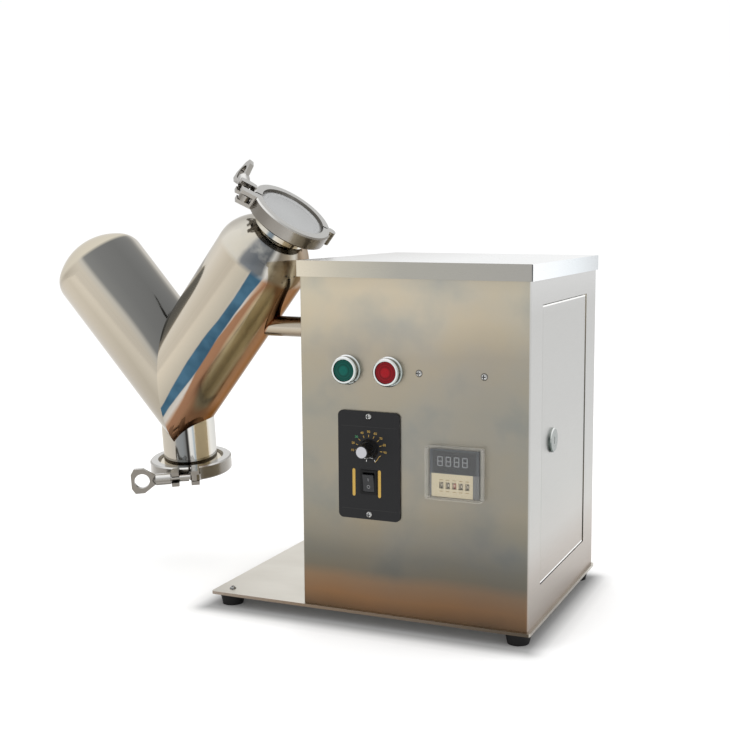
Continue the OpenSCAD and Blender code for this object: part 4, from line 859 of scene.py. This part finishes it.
def arc(cx, cy, rx, ry, start, stop, steps=8):
    turns = (start + (stop - start) * i / steps for i in range(steps + 1))
    return [on_circle(cx, cy, rx, ry, turn) for turn in turns]


def piece(name, verts, faces, material, body):
    """A mesh piece, its points in metres in the part's frame, that moves with body."""
    mesh = bpy.data.meshes.new(name)
    mesh.from_pydata([tuple(v) for v in verts], [], faces)
    mesh.update()
    obj = bpy.data.objects.new(name, mesh)
    bpy.context.scene.collection.objects.link(obj)
    mesh.materials.append(MAT[material])
    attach(obj, body)


def raise_ring(bm, ring, height, order=1):
    """A low prism over ring, open below. order is -1 for a ring that runs clockwise."""
    low = [bm.verts.new((x, y, 0)) for x, y in ring]
    high = [bm.verts.new((x, y, height)) for x, y in ring]
    bm.faces.new(high[::order])
    for i in range(len(ring)):
        bm.faces.new((low[i - 1], low[i], high[i], high[i - 1]))


def ribbon(lines, width, thick=MARK_THICK):
    """Raised strokes in a plane: a box along each stretch and a disc at each point."""
    bm = bmesh.new()
    half, corners = width / 2, 8
    for line in lines:
        for a, b in zip(line, line[1:]):
            a, b = Vector(a), Vector(b)
            way = (b - a).normalized() * half
            side = Vector((-way.y, way.x))
            raise_ring(bm, [a + side, b + side, b - side, a - side], thick, -1)
        for x, y in line:
            ring = [on_circle(x, y, half, half, 360 * i / corners) for i in range(corners)]
            raise_ring(bm, ring, thick * 1.02)
    bmesh.ops.recalc_face_normals(bm, faces=bm.faces)
    bm.verts.index_update()
    verts = [v.co.copy() for v in bm.verts]
    faces = [[v.index for v in f.verts] for f in bm.faces]
    bm.free()
    return verts, faces


def on_front(verts, x, z, out):
    """Points drawn in millimetres in a plane, put on the front at (x, z), out proud of it."""
    base = Vector((x, FRONT_Y - out, z))
    return [cab(*(base + TO_FRONT @ v)) for v in verts]


def strokes(name, lines, width, x, z, out, material, thick=MARK_THICK):
    verts, faces = ribbon(lines, width, thick)
    piece(name, on_front(verts, x, z, out), faces, material, "cabinet")


# Plain numerals, drawn with strokes in a box 0.6 wide and 1 high
GLYPHS = {
    "0": [arc(0.3, 0.5, 0.3, 0.5, 90, 450, 14)],
    "1": [[(0.12, 0.8), (0.34, 1.0), (0.34, 0.0)]],
    "2": [arc(0.3, 0.72, 0.28, 0.28, 165, -30) + [(0.02, 0.0), (0.6, 0.0)]],
    "3": [arc(0.28, 0.75, 0.26, 0.25, 150, -90), arc(0.28, 0.26, 0.3, 0.26, 90, -150)],
    "4": [[(0.44, 0.0), (0.44, 1.0), (0.0, 0.3), (0.6, 0.3)]],
    "5": [[(0.55, 1.0), (0.1, 1.0), (0.06, 0.55)] + arc(0.28, 0.32, 0.3, 0.31, 120, -150)],
    "6": [
        [(0.5, 0.97)] + arc(0.32, 0.45, 0.3, 0.5, 120, 190, 4),
        arc(0.3, 0.3, 0.28, 0.3, 0, 360, 12),
    ],
    "7": [[(0.02, 1.0), (0.58, 1.0), (0.22, 0.0)]],
    "8": [arc(0.3, 0.76, 0.24, 0.24, 0, 360, 12), arc(0.3, 0.27, 0.29, 0.27, 0, 360, 12)],
    "9": [
        arc(0.3, 0.7, 0.28, 0.3, 0, 360, 12),
        [(0.58, 0.7)] + arc(0.28, 0.55, 0.3, 0.53, 0, -60, 4),
    ],
}
GLYPH_W, GLYPH_STEP = 0.6, 0.85


def number(text, height, cx, cy):
    """Strokes of a number centred on (cx, cy)."""
    left = cx - (GLYPH_STEP * (len(text) - 1) + GLYPH_W) * height / 2
    low = cy - height / 2
    lines = []
    for i, char in enumerate(text):
        start = left + i * GLYPH_STEP * height
        lines += [[(start + x * height, low + y * height) for x, y in g] for g in GLYPHS[char]]
    return lines


# The speed controller: its plate's middle, the knob's and the rocker's axes
CTL_X, CTL_Z, KNOB_Z, ROCKER_Z = 76.0, 145.0, 161.0, 129.0
PLATE_OUT = 2.0
# Degrees between the dial's marks, of which the fifth is at the top and one is green
DIAL_STEP, DIAL_GREEN = 24.0, 3
TICK_R, NUMBER_R, NUMBER_H = (12.0, 14.0), 17.2, 1.95
THIN, BOLD = 0.32, 0.5


def around(degrees, radius):
    """Degrees clockwise from the top, seen from the front."""
    a = math.radians(degrees)
    return (radius * math.sin(a), radius * math.cos(a))


def on_plate(name, lines, width, z, material="gold", thick=MARK_THICK):
    strokes(name, lines, width, CTL_X, z, PLATE_OUT, material, thick)


ticks, gold_numbers, green_numbers = [], [], []
for i in range(1, 10):
    turn = DIAL_STEP * (i - 5)
    ticks.append([around(turn, radius) for radius in TICK_R])
    numbers = green_numbers if i == DIAL_GREEN else gold_numbers
    numbers.extend(number(str(i * 10), NUMBER_H, *around(turn, NUMBER_R)))
swoosh = [(6.5, -12.2), (9.0, -9.5), (11.0, -6.2), (12.6, -5.4)]
end_marks = [[around(150, 11.6), around(150, 13.2)], [around(-168, 10.6), around(-168, 12.2)]]
bars = [[(x, -12.0), (x, 12.0)] for x in (-15.8, 11.1)]
grooves = [[(-29.0, z), (29.0, z)] for z in (37.7, -43.0)]
on_plate("dial_ticks", ticks, BOLD, KNOB_Z)
on_plate("dial_numbers", gold_numbers, THIN, KNOB_Z)
on_plate("dial_number_marked", green_numbers, THIN, KNOB_Z, "green_mark")
on_plate("dial_swoosh", [swoosh], BOLD, KNOB_Z)
on_plate("dial_end_marks", end_marks, BOLD, KNOB_Z, "white_mark")
on_plate("rocker_bars", bars, 3.0, ROCKER_Z - 1.0, thick=0.08)
# Dark strokes that paint shade into the plate's two grooves
on_plate("plate_grooves", grooves, 0.45, CTL_Z, "groove", 0.02)

# The rocker: its tilt at rest, its pivot behind the front, how far before the pivot its face
# lies at the ends, half its height and how much the face dips in the middle
ROCKER_TILT, ROCKER_PIVOT = math.radians(8), 1.5
ROCKER_FACE, ROCKER_HALF, ROCKER_DIP = 5.4, 8.5, 0.7
MARK_LIFT = 0.02


def on_rocker(verts):
    """Points in the plane of the rocker's lower or upper face, which dips to its middle."""
    c, s = math.cos(ROCKER_TILT), math.sin(ROCKER_TILT)
    out = []
    for v in verts:
        front = ROCKER_FACE - ROCKER_DIP * (1 - abs(v.y) / ROCKER_HALF) + v.z + MARK_LIFT
        y, z = v.y * c - front * s, v.y * s + front * c
        out.append(cab(CTL_X + v.x, FRONT_Y + ROCKER_PIVOT - z, ROCKER_Z + y))
    return out


ROCKER_MARKS = {
    "rocker_mark_on": [(0.0, 2.2), (0.0, 5.0)],
    "rocker_mark_off": arc(0.0, -3.6, 1.45, 1.5, 0, 360, 16),
}
for name, line in ROCKER_MARKS.items():
    verts, faces = ribbon([line], 0.42)
    piece(name, on_rocker(verts), faces, "faint_mark", "rocker")

# The knob: a silver cap, and a white pointer at five o'clock from the cap's edge down the
# flank to the end of the skirt, through points (radius, height) of the knob
KNOB_BASE = PLATE_OUT + 0.4
CAP_R, CAP_OUT, CAP_THICK, CAP_STEPS = 5.45, 15.98, 0.06, 48
POINTER_TURN, POINTER_HALF, POINTER_LIFT = 150, 0.35, 0.06
POINTER_LINE = [(6.0, 15.3), (6.35, 15.1), (8.05, 4.2), (8.2, 4.0), (9.6, 0.6)]


def disc(radius, thick, steps):
    rim = [on_circle(0, 0, radius, radius, 360 * i / steps) for i in range(steps)]
    verts = [Vector((x, y, h)) for h in (0, thick) for x, y in rim]
    faces = [list(range(steps))[::-1], list(range(steps, 2 * steps))]
    for i in range(steps):
        j = (i + 1) % steps
        faces.append([i, j, steps + j, steps + i])
    return verts, faces


def strip(line, turn, half, lift):
    """A flat strip along points (radius, height), at turn degrees about the knob's axis."""
    way = Vector(around(turn, 1.0))
    side = Vector((way.y, -way.x)) * half
    verts = []
    for radius, height in line:
        middle = way * (radius + lift)
        verts += [Vector((*p, height + lift)) for p in (middle + side, middle - side)]
    faces = [[i, i + 1, i + 3, i + 2] for i in range(0, len(verts) - 2, 2)]
    return verts, faces


verts, faces = disc(CAP_R, CAP_THICK, CAP_STEPS)
piece("knob_cap", on_front(verts, CTL_X, KNOB_Z, KNOB_BASE + CAP_OUT), faces, "silver", "knob")
verts, faces = strip(POINTER_LINE, POINTER_TURN, POINTER_HALF, POINTER_LIFT)
piece("knob_pointer", on_front(verts, CTL_X, KNOB_Z, KNOB_BASE), faces, "white_mark", "knob")

# The timer: pale digit outlines on the pane, small dashes above and below each wheel, and
# numerals round the wheels
TIMER_OUT, TIMER_THICK = 5.0, 0.03
DIGIT_W, DIGIT_H, DIGIT_STEP, DIGIT_GAP = 4.5, 8.4, 8.2, 0.35
DIGIT_X, DIGIT_Y = -14.1, 11.2
WHEELS, WHEEL_PITCH, WHEEL_Y, WHEEL_R, WHEEL_Z = 5, 6.45, -11.6, 6.5, -3.2
DASH_HALF, DASH_Y = 1.4, (5.2, -5.6)
INK_H, INK_THICK = 3.6, 0.05


def seven_segment(cx, cy):
    """The seven strokes of a display digit centred on (cx, cy), apart at their ends."""
    w, h = DIGIT_W / 2, DIGIT_H / 2
    corners = [(-w, h), (w, h), (w, 0), (w, -h), (-w, -h), (-w, 0)]
    a, b, c, d, e, f = (Vector((x + cx, y + cy)) for x, y in corners)
    lines = []
    for p, q in ((a, b), (b, c), (c, d), (d, e), (e, f), (f, a), (f, c)):
        step = (q - p).normalized() * DIGIT_GAP
        lines.append([tuple(p + step), tuple(q - step)])
    return lines


def round_wheel(verts, turn, x):
    """A flat drawing bent round a wheel at x, turned on by turn radians."""
    out = []
    for v in verts:
        angle, radius = v.y / WHEEL_R + turn, WHEEL_R + MARK_LIFT + v.z
        out_y, out_z = radius * math.sin(angle), radius * math.cos(angle)
        place = (x + v.x, FRONT_Y - (WHEEL_Z + out_z), TIMER_Z + WHEEL_Y + out_y)
        out.append(cab(*place))
    return out


digits, dashes = [], []
for i in range(4):
    digits += seven_segment(DIGIT_X + i * DIGIT_STEP, DIGIT_Y)
wheel_x = [(i - WHEELS // 2) * WHEEL_PITCH for i in range(WHEELS)]
for x in wheel_x:
    dashes += [[(x - DASH_HALF, WHEEL_Y + y), (x + DASH_HALF, WHEEL_Y + y)] for y in DASH_Y]
on_timer = (TIMER_X, TIMER_Z, TIMER_OUT)
strokes("display_digits", digits, 0.9, *on_timer, "grey_mark", TIMER_THICK)
strokes("wheel_dashes", dashes, 0.7, *on_timer, "dash_mark", TIMER_THICK)

for i, x in enumerate(wheel_x):
    verts, faces = [], []
    for digit in range(10):
        flat, loops = ribbon(number(str(digit), INK_H, 0.0, 0.0), 0.75, INK_THICK)
        faces += [[len(verts) + k for k in loop] for loop in loops]
        verts += round_wheel(flat, math.radians(36 * digit), TIMER_X + x)
    ink = "red_mark" if i == WHEELS // 2 else "wheel_ink"
    piece(f"wheel_digits_{i + 1}", verts, faces, ink, f"wheel_{i + 1}")

# Dark seam at the cover's front corner, just proud of the front
SEAM_X, SEAM_Y, SEAM_Z = (237.0, 238.02), -0.02, (324.7, 339.6)
seam = [cab(SEAM_X[i], SEAM_Y, SEAM_Z[j]) for i, j in ((0, 0), (1, 0), (1, 1), (0, 1))]
piece("cover_seam", seam, [[0, 1, 2, 3]], "dark_mark", "cabinet")

# ---------------------------------------------------------------- floor, light and camera

scene = bpy.context.scene
scene.view_settings.view_transform = "Standard"
scene.view_settings.look = "None"

# In metres: half the floor's side, and how far the dark round the base plate reaches
FLOOR_HALF, SHADOW_REACH = 30.0, 0.04
FLOOR_GLOW = 0.11
# The field under the base plate, and the floor's grey by the share of that reach past it
SHADOW_CORNER, SHADOW_SIZE = Vector((-104.0, -5.0, 0.0)), Vector((PLATE_W, CAB_D, 0.0))
SHADOW = [(0.0, 0.36), (0.16, 0.52), (0.4, 0.78), (0.7, 0.91), (1.0, 0.94)]


def shadowed_floor():
    """Pale floor, darker close to the base plate, as the feet keep the light off it."""
    n = Nodes("floor", 0.9, spec=0.0)
    middle = cab(*(SHADOW_CORNER + SHADOW_SIZE / 2))
    outside = []
    for i, axis in enumerate((RIGHT, BACK)):
        offset = n.math("ABSOLUTE", n.distance(axis, middle))
        past = n.math("SUBTRACT", offset, SHADOW_SIZE[i] / 2 * MM)
        outside.append(n.math("MAXIMUM", past, 0.0))
    away = n.span(n.length(*outside), 0.0, SHADOW_REACH)
    grey = n.ramp(away, [(place, (v, v, v, 1.0)) for place, v in SHADOW])
    n.color(grey)
    n.put(grey, n.bsdf.inputs["Emission Color"])
    n.bsdf.inputs["Emission Strength"].default_value = FLOOR_GLOW
    return n.mat


floor_mesh = bpy.data.meshes.new("floor")
corners = [(-1, -1), (1, -1), (1, 1), (-1, 1)]
floor_verts = [(x * FLOOR_HALF, y * FLOOR_HALF, 0) for x, y in corners]
floor_mesh.from_pydata(floor_verts, [], [[0, 1, 2, 3]])
floor = bpy.data.objects.new("floor", floor_mesh)
scene.collection.objects.link(floor)
floor_mesh.materials.append(shadowed_floor())

world = bpy.data.worlds.new("studio")
scene.world = world
world.use_nodes = True
background = world.node_tree.nodes["Background"]
background.inputs["Color"].default_value = (1.0, 1.0, 1.0, 1)
background.inputs["Strength"].default_value = 1.01


def area(name, place, target, width, height, power):
    """A soft light that shows in no reflection."""
    light = bpy.data.lights.new(name, "AREA")
    light.shape = "RECTANGLE"
    light.size, light.size_y = width, height
    light.energy = power
    obj = bpy.data.objects.new(name, light)
    scene.collection.objects.link(obj)
    obj.location = place
    direction = Vector(target) - Vector(place)
    obj.rotation_euler = direction.to_track_quat("-Z", "Y").to_euler()
    obj.visible_glossy = False


area("top", (0.1, 0.1, 2.2), (0.0, 0.0, 0.2), 2.4, 2.4, 15.0)
area("left", (-1.6, -1.2, 1.3), (-0.1, 0.0, 0.25), 1.2, 1.4, 6.0)
area("right", (2.2, -0.4, 1.0), (0.1, 0.0, 0.2), 1.2, 1.4, 6.0)

# The camera as fitted to the photo: lengths in its pixels, place in the cabinet's frame,
# and the degrees it looks down and turns to the left
PHOTO_SIZE, FOCAL, SHIFT_X, SHIFT_Y = 730, 1168.33, -73.0, -15.24
CAMERA_AT, LOOKS_DOWN, TURNED = (542.11, -993.46, 386.24), 6.74, 21.67
SENSOR = 36.0
camera_data = bpy.data.cameras.new("camera")
camera = bpy.data.objects.new("camera", camera_data)
scene.collection.objects.link(camera)
camera_data.sensor_width = SENSOR
camera_data.lens = FOCAL / PHOTO_SIZE * SENSOR
camera_data.shift_x = SHIFT_X / PHOTO_SIZE
camera_data.shift_y = SHIFT_Y / PHOTO_SIZE
camera_data.clip_end = 100.0
camera.location = cab(*CAMERA_AT)
camera.rotation_euler = (math.radians(90 - LOOKS_DOWN), 0.0, math.radians(TURNED))
scene.camera = camera
